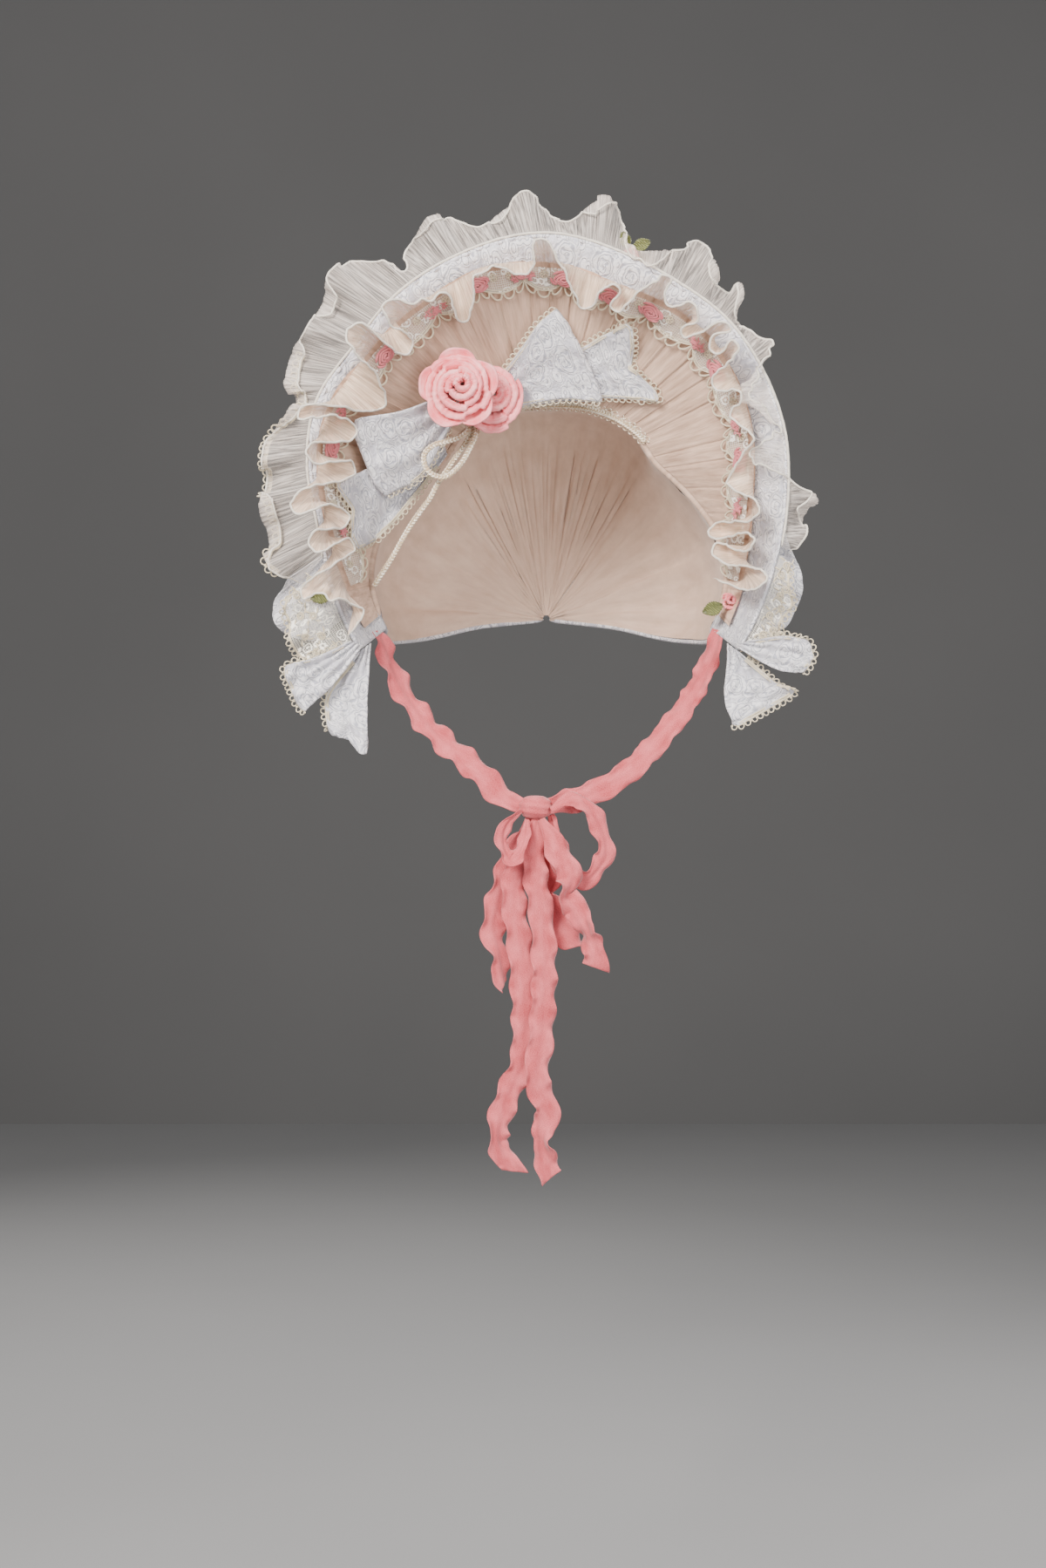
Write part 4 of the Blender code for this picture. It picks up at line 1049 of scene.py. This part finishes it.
def make_lace_band(finish):
    """The lace inside the ruffle: a net, thread flowers, scallops and their hanging loops."""
    end = INNER_RUFFLE_ENDS[1]
    cusps = sorted([*WOUND_ROSES.values(), *STITCHED_ROSES.values(), -end, end])
    clocks = np.linspace(-end, end, LACE_COLUMNS)
    at = np.interp(clocks, cusps, np.arange(len(cusps)))
    hang = np.sin(math.pi * (at - np.floor(at))) ** 0.7
    sewing = reach_of(SEWING_LINE, clocks)
    rows = [before_brim(clocks, sewing - LACE_INSET - (6.0 + 6.0 * hang) * part, LACE_LIFT)
            for part in np.linspace(0.0, 1.0, 8)]
    made = cloth("lace_band_net", finish.net, np.stack(rows), ("lace_band",))
    edge = rows[-1]
    inward = unit(rows[-1] - rows[0])
    girth = tapered(LACE_COLUMNS, 0.01)
    parts = [sweep(edge, 0.55 * girth, THREAD_SIDES),
             sweep(edge - inward * 1.5, 0.38 * girth, THREAD_SIDES)]
    run = running_length(edge)
    for first, last in zip(cusps[:-1], cusps[1:]):
        from_run, to_run = np.interp((first, last), clocks, run)
        count = max(2, round((to_run - from_run) / LACE_LOOP_PITCH))
        ends = np.searchsorted(run, np.linspace(from_run, to_run, count + 1))
        ends = ends.clip(0, LACE_COLUMNS - 1)
        for left, right in zip(ends[:-1], ends[1:]):
            middle = (left + right) // 2
            gap = (edge[right] - edge[left]) * 0.09
            parts.append(hung_loop(edge[left] + gap, edge[right] - gap, inward[middle],
                                   depth=5.2, thread=0.58))
            parts.append(bead_of_thread(edge[left] + inward[left] * 0.7, 1.05))
    loops = piece("lace_band_loops", finish.thread, *joined(parts))
    flowers = []
    for clock in np.arange(-116.0, 117.0, LACE_FLOWER_PITCH):
        nearest = min(abs(clock - cusp) for cusp in cusps)
        if nearest > 3.0:
            middle, along, out, face = rose_frame(clock)
            flowers.extend(daisy(middle + out * 1.2 - face * 0.6, along, out, face,
                                 size=2.5, thread=0.34))
    embroidery = piece("lace_band_flowers", finish.thread, *joined(flowers))


def rose_frame(clock):
    """A flat place on the lace: its middle, and ways along it, out from it and off its face."""
    reach = float(reach_of(SEWING_LINE, clock)) - LACE_ROSE_INSET
    middle = before_brim(np.array([clock]), np.array([reach]), LACE_ROSE_LIFT)[0]
    further = before_brim(np.array([clock]), np.array([reach + 1.0]), LACE_ROSE_LIFT)[0]
    angle = math.radians(clock)
    along = np.array((math.cos(angle), 0.0, -math.sin(angle)))
    out = unit(further - middle)
    face = unit(np.cross(along, out))
    return middle, along, out, face * -np.sign(face[1])


def make_lace_roses(finish):
    """Pink embroidered roses on the lace: some wound, some in clusters of stitches."""
    share = np.linspace(0.0, 1.0, 130)[:, None]
    turn = 2 * math.pi * 3.3 * share
    size = (0.6 + 4.4 * share) * (1 + 0.08 * np.sin(4 * turn + 1.0))
    rise = 2.4 - 1.9 * share ** 1.4
    for number, clock in WOUND_ROSES.items():
        middle, along, out, face = rose_frame(clock)
        spiral = middle + size * (1.3 * along * np.cos(turn) + 0.85 * out * np.sin(turn))
        parts = [sweep(spiral + face * rise, 0.78 * tapered(len(share), 0.04))]
        for petal in range(4):
            swing = np.linspace(-0.6, 0.6, 14)[:, None] + math.pi * (petal + 0.3) / 2
            line = middle + 5.6 * (1.35 * along * np.cos(swing) + 0.8 * out * np.sin(swing))
            parts.append(sweep(line + face * 0.7, 0.85 * tapered(14, 0.3)))
        piece("wound_rose_" + number, finish.pink_thread, *joined(parts),
              ("lace_rose_" + number,))
    for number, clock in STITCHED_ROSES.items():
        middle, along, out, face = rose_frame(clock)
        rng = np.random.default_rng(int(number))
        parts = []
        for _ in range(46):
            at = rng.uniform(0, 2 * math.pi)
            far = rng.uniform(0.1, 1.0)
            heading = rng.uniform(0, math.pi)
            root = middle + far * 4.8 * (1.5 * along * math.cos(at) + 0.7 * out * math.sin(at))
            tip = 1.6 * (along * math.cos(heading) + out * math.sin(heading))
            bow = np.linspace(-1.0, 1.0, 7)[:, None]
            line = root + bow * tip + face * (1.9 - far - 0.8 * bow ** 2)
            parts.append(sweep(line, 0.46 * tapered(7, 0.3), THREAD_SIDES))
        piece("stitched_rose_" + number, finish.pink_thread, *joined(parts),
              ("lace_rose_" + number,))


# Bows

def panel_points(stations, along, across, notch=0.0):
    """Points in x and z on a bow piece, along it and across it."""
    sides = [read_table(stations, "along", name, along) for name in
             ("upper_x", "upper_z", "lower_x", "lower_z")]
    x = sides[0] + (sides[2] - sides[0]) * across
    z = sides[1] + (sides[3] - sides[1]) * across
    root = stations[0]
    pull = notch * along ** 4 * (1 - np.abs(2 * across - 1))
    root_x = (root.upper_x + root.lower_x) / 2
    root_z = (root.upper_z + root.lower_z) / 2
    length = np.maximum(np.hypot(x - root_x, z - root_z), 1e-6)
    return x + (root_x - x) * pull / length, z + (root_z - z) * pull / length


def bow_grid(stations, shares, lifts, folds, notch, seed):
    """A bow piece, rows across it and columns along it: folds spread from its root, its far
    corners are rounded and its cloth is crumpled a little."""
    columns = len(shares)
    wander = drift(np.linspace(0, 30, BOW_ROWS), 5.0, seed)
    soft = (crumple(BOW_ROWS, columns, (5, 7), seed)
            + 0.6 * crumple(BOW_ROWS, columns, (9, 15), seed + 1))
    ragged = 0.012 * drift(np.linspace(0, 60, BOW_ROWS), 6.0, seed + 2)
    rows = []
    for number, across in enumerate(np.linspace(0.0, 1.0, BOW_ROWS)):
        corner = abs(2 * across - 1) ** 5
        drawn = shares * (1 - (0.07 * corner + ragged[number]) * shares ** 2)
        x, z = panel_points(stations, drawn, across + 0.02 * np.sin(7 * shares + seed), notch)
        clocks, reaches = clock_and_reach(x, z)
        crease = folds * np.cos(6 * math.pi * across + wander[number]) * (1 - shares) ** 0.7
        puff = 1.7 * soft[number] * np.minimum(1.0, 4 * shares) * (0.3 + 0.7 * shares)
        rows.append(before_brim(clocks, reaches, lifts + crease + puff))
    return np.stack(rows)


def lace_along(name, finish, line, away_from, pitch=4.0, size=3.4, thread=0.38):
    """A picot edge along a line, standing away from a point."""
    line = spread_evenly(line, max(40, int(running_length(line)[-1] / 0.8)))
    outward = square_to(line, line - np.asarray(away_from, float))
    inner = sweep(line - outward * 1.5, 0.55 * tapered(len(line), 0.03), THREAD_SIDES)
    parts = joined([picot_trim(line, outward, pitch, size, thread), inner])
    piece(name, finish.thread, *parts)


def side_lace(finish, node, grid, lace_rows, centre):
    """Lace along some of a bow piece's rows, which are its long edges."""
    for row in lace_rows:
        lace_along("%s_lace_%d" % (node, row % BOW_ROWS), finish, grid[row], centre)


def bow_loop(finish, node, stations, front_lifts, back_lifts, folds, seed, lace_rows):
    """A folded band with lace along its edges: out in front to the fold and back behind."""
    there = np.linspace(0.0, 1.0, BOW_LOOP_COLUMNS)
    shares = np.concatenate((there, there[::-1][1:]))
    front = smooth_through(ROOT_MIDDLE_END, front_lifts, there)
    back = smooth_through(ROOT_MIDDLE_END, back_lifts, there)
    turn = np.clip((there - 0.93) / 0.07, 0, 1)
    middle = (front + back) / 2
    front = front + (middle - front) * turn ** 2
    back = back + (middle - back) * turn ** 2
    lifts = np.concatenate((front, back[::-1][1:]))
    grid = bow_grid(stations, shares, lifts, folds, 0.0, seed)
    grid[:, BOW_LOOP_COLUMNS:, 1] += 0.8
    cloth(node + "_cloth", finish.jacquard, grid, (node,), BOW_THICKNESS)
    centre = grid[:, :BOW_LOOP_COLUMNS].reshape(-1, 3).mean(axis=0)
    side_lace(finish, node, grid[:, 3:BOW_LOOP_COLUMNS - 1], lace_rows, centre)


def bow_tail(finish, panel):
    """A flat end of the bow with lace along its edges and a swallow-tail notch."""
    node = panel.node
    shares = np.linspace(0.0, 1.0, 44)
    level = smooth_through(ROOT_MIDDLE_END, panel.lifts, shares)
    grid = bow_grid(panel.stations, shares, level, panel.folds, panel.notch, panel.seed)
    cloth(node + "_cloth", finish.jacquard, grid, (node,), BOW_THICKNESS)
    centre = grid.reshape(-1, 3).mean(axis=0)
    side_lace(finish, node, grid[:, 4:], panel.lace_rows, centre)
    if panel.end_lace:
        lace_along(node + "_end_lace", finish, grid[:, -1], centre)


def soft_knot(name, look, centre, size, stands_for, seed):
    """A knot of cloth: a squared ball with the creases of what is wound round it."""
    turn = np.linspace(0.0, 2 * math.pi, KNOT_COLUMNS + 1)[:-1]
    rings = []
    for height in np.sin(np.linspace(-1.569, 1.569, KNOT_RINGS)):
        girth = (1 - height ** 2) ** 0.35
        crease = 1 + 0.05 * np.sin(3.5 * height * math.pi + 2 * np.cos(turn + seed))
        rings.append(np.column_stack((
            centre[0] + size[0] * girth * crease * np.cos(turn),
            centre[1] + size[1] * girth * crease * np.sin(turn),
            np.full(len(turn), centre[2] + size[2] * height))))
    grid = np.stack(rings)
    run = np.stack(np.meshgrid(turn * size[0], np.linspace(0, 2 * size[2], KNOT_RINGS)), axis=-1)
    piece(name, look, grid.reshape(-1, 3), grid_faces(KNOT_RINGS, KNOT_COLUMNS, closed=True),
          run.reshape(-1, 2), stands_for)


def make_bow(finish):
    """The brim's bow: a knot with a loop and a tail on each side."""
    right_tail, left_tail = BOW_TAILS
    soft_knot("bow_knot_cloth", finish.jacquard, BOW_KNOT_CENTRE, BOW_KNOT_SIZE,
              ("bow_knot",), 1.0)
    bow_loop(finish, "bow_loop_right", BOW_LOOP_RIGHT, front_lifts=(14.4, 18, 14),
             back_lifts=(11.3, 9.3, 10), folds=0.9, seed=51, lace_rows=(0, -1))
    bow_tail(finish, right_tail)
    bow_loop(finish, "bow_loop_left", BOW_LOOP_LEFT, front_lifts=(20, 25, 18.5),
             back_lifts=(14.5, 14, 13.5), folds=1.3, seed=61, lace_rows=(-1,))
    bow_tail(finish, left_tail)


def make_corner_bows(finish):
    for panel in CORNER_BOWS:
        bow_tail(finish, panel)


# Roses, buds and leaves

def petal_grid(centre, angle, radius, width, base_depth, height, curl, seed):
    """A cupped petal that stands round a rose, its lip rolled outward."""
    rows = []
    spread = np.linspace(-1.0, 1.0, 34)
    wobble = drift(spread * 10, 3.0, seed)
    for level in np.linspace(0.0, 1.0, 16):
        opened = 0.55 + 0.45 * math.sin(math.pi * min(level + 0.1, 1) / 2)
        swing = angle + spread * width * opened
        lip = 1.0 - 0.30 * spread ** 2
        out = radius * (0.5 + 0.5 * level ** 0.8) + curl * max(level - 0.6, 0) ** 1.5
        out = out * lip + 0.5 * wobble * level
        rise = height * level * (1 - 0.28 * spread ** 2) - 2.2 * max(level - 0.72, 0)
        rows.append(np.column_stack((
            centre[0] + out * np.cos(swing),
            base_depth - rise,
            centre[1] + out * np.sin(swing))))
    return np.stack(rows)


def wound_rose(finish, node, centre, inner, outer, turns, base_depth, height, seed, petals=1.8):
    """A folded strip wound into a rose. Its lip is a soft fold that swells out and tucks back
    petal by petal, and stands highest in the middle."""
    columns = int(ROSE_COLUMNS_A_TURN * turns)
    share = np.linspace(0.0, 1.0, columns)
    angle = 2 * math.pi * turns * share
    pitch = (outer - inner) / turns
    petal = (angle * petals / (2 * math.pi) + 0.2 * drift(angle, 1.0, seed)) % 1.0
    swell = (petal ** 1.4 - 0.45) * pitch * 0.95 * np.sin(math.pi * petal ** 0.35) ** 0.3
    lip = inner + (outer - inner) * share + swell * (0.4 + 0.6 * share)
    top = height * (1 - 0.5 * share ** 2) + 0.9 * drift(angle, 0.8, seed + 3)
    top = top * np.clip((1 - share) / 0.03, 0.1, 1.0) ** 0.5
    fold = pitch * np.minimum(1.0, (lip + 0.25 * pitch) / (0.75 * pitch))
    middle_x = centre[0] + 1.5 * (1 - share) ** 2
    middle_z = centre[1] + 3.5 * (1 - share) ** 2
    profile = ((-0.30, 0.0), (-0.38, 0.35), (-0.45, 0.62), (-0.50, 0.80), (-0.46, 0.92),
               (-0.28, 0.99), (0.0, 1.02), (0.28, 0.97), (0.46, 0.86), (0.50, 0.72),
               (0.40, 0.5), (0.30, 0.25), (0.25, 0.0))
    rows = []
    for number, (thick, level) in enumerate(profile):
        ribs = 0.3 * drift(angle, 0.08, seed + 10 + number // 3)
        radius = lip * (0.62 + 0.38 * level) + thick * fold + ribs
        rows.append(np.column_stack((
            middle_x + radius * np.cos(angle),
            base_depth - top * level + ribs,
            middle_z + radius * np.sin(angle))))
    cloth(node + "_cloth", finish.petal, np.stack(rows), (node,))


def make_roses(finish):
    large_centre = (-53.5, -2)
    wound_rose(finish, "rose_large", large_centre, inner=0.3, outer=21.0, turns=4.7,
               base_depth=-82.7, height=18, seed=81)
    wound_rose(finish, "rose_small", (-35, -4.5), inner=0.4, outer=21.0, turns=4.1,
               base_depth=-69.7, height=12, seed=84)
    parts = []
    for number in range(5):
        grid = petal_grid(large_centre, 2 * math.pi * number / 5 + 0.4, radius=23.5, width=0.78,
                          base_depth=-82.5, height=12, curl=4.0, seed=90 + number)
        parts.append(grid_parts(grid))
    made = piece("rose_outer_petals", finish.petal, *joined(parts))
    solid = made.modifiers.new("thickness", "SOLIDIFY")
    solid.thickness = MILLIMETRE * PETAL_THICKNESS


def rosebud(finish, bud):
    """A tight wound bud on the brim."""
    middle = before_brim(np.array([bud.clock]), np.array([bud.reach]), bud.lift)[0]
    wound_rose(finish, bud.node, (middle[0], middle[2]), inner=0.5, outer=bud.size, turns=2.4,
               base_depth=middle[1], height=1.3 * bud.size, seed=int(bud.clock), petals=3.0)


def make_leaf(finish, leaf):
    """A pointed leaf, cupped along its middle vein, with a toothed edge."""
    middle = leaf.middle
    length = leaf.length
    aim = math.radians(leaf.heading)
    rows = []
    for across in np.linspace(-1.0, 1.0, 13):
        along = np.linspace(0.0, 1.0, 40)
        half = length * (0.05 + 0.28 * np.sin(math.pi * np.minimum(along * 1.02, 1.0)) ** 0.9)
        half = half * (1 + 0.05 * np.sign(np.sin(along * 60)) * abs(across))
        x = length * along
        rows.append(np.column_stack((
            middle[0] + x * math.cos(aim) - across * half * math.sin(aim),
            middle[1] - 1.2 * abs(across) - 1.5 * along + 0.25 * np.sin(along * 40),
            middle[2] + x * math.sin(aim) + across * half * math.cos(aim))))
    cloth(leaf.node + "_cloth", finish.leaf, np.stack(rows), (leaf.node,), LEAF_THICKNESS)


def make_buds(finish):
    for bud in BUDS:
        rosebud(finish, bud)
    for leaf in LEAVES:
        make_leaf(finish, leaf)


# Braid

def braid(points, width, strand, pitch):
    """Three strands plaited along points."""
    side, out = thread_sides(points)
    phase = 2 * math.pi * running_length(points) / pitch
    parts = []
    for strand_number in range(3):
        turn = phase + 2 * math.pi * strand_number / 3
        line = (points + side * ((width / 2 - strand) * np.sin(turn))[:, None]
                + out * (0.8 * strand * np.sin(2 * turn))[:, None])
        parts.append(sweep(line, strand * tapered(len(points), 0.02)))
    return joined(parts)


def make_cords(finish):
    """The braid's loop and its hanging end, on the routes of their solids."""
    for node, route, far_end in (("gimp_loop", GIMP_LOOP, "object"),
                                 ("gimp_tail", GIMP_TAIL, "bare")):
        rough = curve_through(route, 60)
        long = running_length(rough)[-1]
        points = curve_through(route, int(long / 0.5))
        plait = braid(points, GIMP_DIAMETER, strand=0.7, pitch=6.0)
        made = piece(node + "_braid", finish.braid, *plait, (node,))


def make_gimp(finish):
    """Braid along the head edge in two strands with picots."""
    for node, start, end, columns, out, lift in GIMP_STRANDS:
        clocks = np.linspace(start, end, columns)
        reach = reach_of(SEAT, clocks) + out
        route = before_brim(clocks, reach, lift)
        line = spread_evenly(route, columns)
        outward = unit(before_brim(clocks, reach + 2, lift) - route)
        parts = [braid(line, GIMP_WIDTH, strand=0.85, pitch=5.2),
                 picot_trim(line + outward * 1.9, outward, pitch=4.0, size=3.2, thread=0.42),
                 picot_trim(line - outward * 1.9, -outward, pitch=4.0, size=2.4, thread=0.38,
                            knots=False)]
        piece(node + "_braid", finish.braid, *joined(parts), (node,))


# Lower corners

def make_corner_frills(finish):
    """Lace frills below the rim ruffle's ends, and the flounces behind them."""
    for frill in CORNER_LACES:
        node = frill.node
        grid = frill_grid(frill.hem, frill.ends, columns=260, inset=0.0, window=31)
        grid = crinkled(grid, flutter=0.9, crinkle=0.1, seed=101)
        made = cloth(node + "_net", finish.net, grid, (node,))
        outward = square_to(grid[-1], grid[-1] - grid[-3])
        edge = piece(node + "_picots", finish.thread,
                     *picot_trim(grid[-1], outward, pitch=4.6, size=3.6, thread=0.4))
        sprigs = piece(node + "_sprigs", finish.thread, *sprigs_on(grid))
    for frill in SIDE_FLOUNCES:
        grid = frill_grid(frill.hem, frill.ends, columns=220, inset=8.0, window=31)
        grid = crinkled(grid, flutter=0.8, crinkle=0.05, seed=111)
        cloth(frill.node + "_cloth", finish.jacquard, grid, (frill.node,), FLOUNCE_THICKNESS)


def sprigs_on(grid):
    """Raised embroidery on a lace panel: small wound flowers with leaves and stems."""
    normals = grid_normals(grid)
    normals = normals * np.sign(-normals[..., 1:2])
    rows, columns = grid.shape[:2]
    parts = []
    for number, column in enumerate(range(14, columns - 10, 26)):
        row = int(rows * (0.45 if number % 2 else 0.72))
        middle = grid[row, column]
        face = normals[row, column]
        along = unit(grid[row, column + 3] - grid[row, column - 3])
        out = unit(np.cross(face, along))
        turn = np.linspace(0.0, 4.4 * math.pi, 44)[:, None]
        size = np.linspace(0.4, 2.7, 44)[:, None]
        spiral = middle + size * (along * np.cos(turn) + out * np.sin(turn)) + face * 0.7
        parts.append(sweep(spiral, 0.42 * tapered(44, 0.1), THREAD_SIDES))
        for heading in (0.4, 2.1, 3.6, 5.2):
            stem = np.linspace(2.8, 6.4, 12)[:, None]
            bend = heading + 0.12 * (stem - 2.8)
            line = middle + stem * (along * np.cos(bend) + out * np.sin(bend)) + face * 0.5
            parts.append(sweep(line, 0.55 * tapered(12, 0.4), THREAD_SIDES))
    return joined(parts)


# Chin ties

def ribbon_grid(tie, length, seed):
    """A strip of georgette along a tie's route, its edges stretched into lettuce waves, its last
    end cut aslant. Its tilts let it turn over."""
    columns = max(60, int(length / 0.8))
    spine = curve_through(tie.route, columns)
    ahead = unit(np.gradient(spine, axis=0))
    flat = unit(np.cross(ahead, BACK))
    run = np.linspace(0.0, length, columns)
    shares, degrees = zip(*tie.tilts)
    tilt = np.radians(np.interp(run / length, shares, degrees))[:, None]
    side = unit(flat * np.cos(tilt) + BACK * np.sin(tilt))
    face = np.cross(side, ahead)
    ease = np.interp(run, (0, 22, length - 22, length), (tie.gather[0], 1, 1, tie.gather[1]))
    phase = 2 * math.pi * run / RIBBON_WAVE + 0.9 * drift(run, 26, seed)
    last = np.clip((run - length + 14) / 14, 0.0, 1.0) ** 2
    rows = []
    for edge in np.linspace(-0.5, 0.5, 15):
        lettuce = abs(2 * edge) ** 2.2
        turned = 1.6 if edge > 0 else 0.0
        sway = tie.wave * np.sin(phase + turned) * ease * lettuce
        ripple = 0.7 * np.sin(2.3 * phase + 2 * edge) * ease * lettuce
        broad = (0.97 * tie.width + 2.2 * np.cos(phase + turned + 0.9)) * ease
        crease = 0.4 * np.sin(edge * 14 + 0.4 * drift(run, 12, seed + 1)) * ease
        sign = 1.0 if edge > 0 else -1.0
        rows.append(spine + side * (edge * broad)[:, None]
                    + face * (sign * sway + ripple + crease)[:, None]
                    + ahead * (tie.cut * edge * last)[:, None])
    return np.stack(rows)


def make_ties(finish):
    """The chin ties: a knot, two straps up to the brim, two loops and five tails."""
    soft_knot("tie_knot_cloth", finish.georgette, KNOT_CENTRE, KNOT_SIZE,
              ("tie_knot",), 0.4)
    for number, tie in enumerate(TIES):
        length = running_length(np.asarray(tie.route, float))[-1]
        grid = ribbon_grid(tie, length, 200 + 5 * number)
        made = cloth(tie.name + "_cloth", finish.georgette, grid, (tie.name,),
                     RIBBON_THICKNESS)


# Stage

def light(lamp):
    """A square soft light turned towards its aim."""
    data = bpy.data.lights.new(lamp.name, "AREA")
    data.energy = lamp.power
    data.size = lamp.size
    data.color = lamp.colour
    made = linked(lamp.name, data)
    made.location = lamp.spot
    x, y, z = np.array(lamp.aim, float) - np.array(lamp.spot, float)
    made.rotation_euler = (math.atan2(math.hypot(x, y), -z), 0.0,
                           math.atan2(y, x) - math.pi / 2)


def stage_finish(name, low, high, scale):
    """Matt grey paint, a little blotchy."""
    made = Finish(name, 0.95)
    blotch = made.noise(made.node("TexCoord", "Object", {}, {}), scale, 4.0, 0.5)
    made.colour(made.ranged(blotch, 0.0, 1.0, low, high))
    return made.material


def make_camera():
    """The photograph's view: level, 1.5 m in front of the brim."""
    camera_data = bpy.data.cameras.new("camera")
    camera_data.lens = CAMERA_LENS
    camera_data.sensor_fit = "VERTICAL"
    camera_data.sensor_height = 36.0
    camera_data.clip_end = 50.0
    camera = linked("camera", camera_data)
    camera.location = CAMERA_SPOT
    camera.rotation_euler = (math.radians(90), 0.0, 0.0)
    bpy.context.scene.camera = camera


def make_stage():
    """A pale floor, a soft grey backdrop and soft light from the upper left."""
    reach = STAGE_REACH
    depth = BACKDROP_DEPTH
    floor = [(-reach, -reach, FLOOR_HEIGHT), (reach, -reach, FLOOR_HEIGHT),
             (reach, depth, FLOOR_HEIGHT), (-reach, depth, FLOOR_HEIGHT)]
    backdrop = [(-reach, depth, FLOOR_HEIGHT - 0.02), (reach, depth, FLOOR_HEIGHT - 0.02),
                (reach, depth, 6.0), (-reach, depth, 6.0)]
    for name, vertices, finish in (
            ("floor", floor, stage_finish("floor_paint", 0.26, 0.31, 1.5)),
            ("backdrop", backdrop, stage_finish("backdrop_paint", 0.12, 0.18, 0.8))):
        mesh = bpy.data.meshes.new(name)
        mesh.from_pydata(vertices, [], [(0, 1, 2, 3)])
        mesh.materials.append(finish)
        linked(name, mesh)
    world = bpy.data.worlds.new("studio")
    world.use_nodes = True
    sky = world.node_tree.nodes["Background"]
    sky.inputs["Color"].default_value = (0.95, 0.96, 1.0, 1)
    sky.inputs["Strength"].default_value = 0.3
    bpy.context.scene.world = world
    for lamp in LAMPS:
        light(lamp)


def main():
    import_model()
    make_camera()
    finish = Finishes()
    make_cords(finish)
    make_brim(finish)
    make_lining(finish)
    make_crown(finish)
    make_rim_ruffle(finish)
    make_inner_ruffle(finish)
    make_lace_band(finish)
    make_lace_roses(finish)
    make_bow(finish)
    make_roses(finish)
    make_gimp(finish)
    make_corner_frills(finish)
    make_corner_bows(finish)
    make_buds(finish)
    make_ties(finish)
    make_stage()


main()
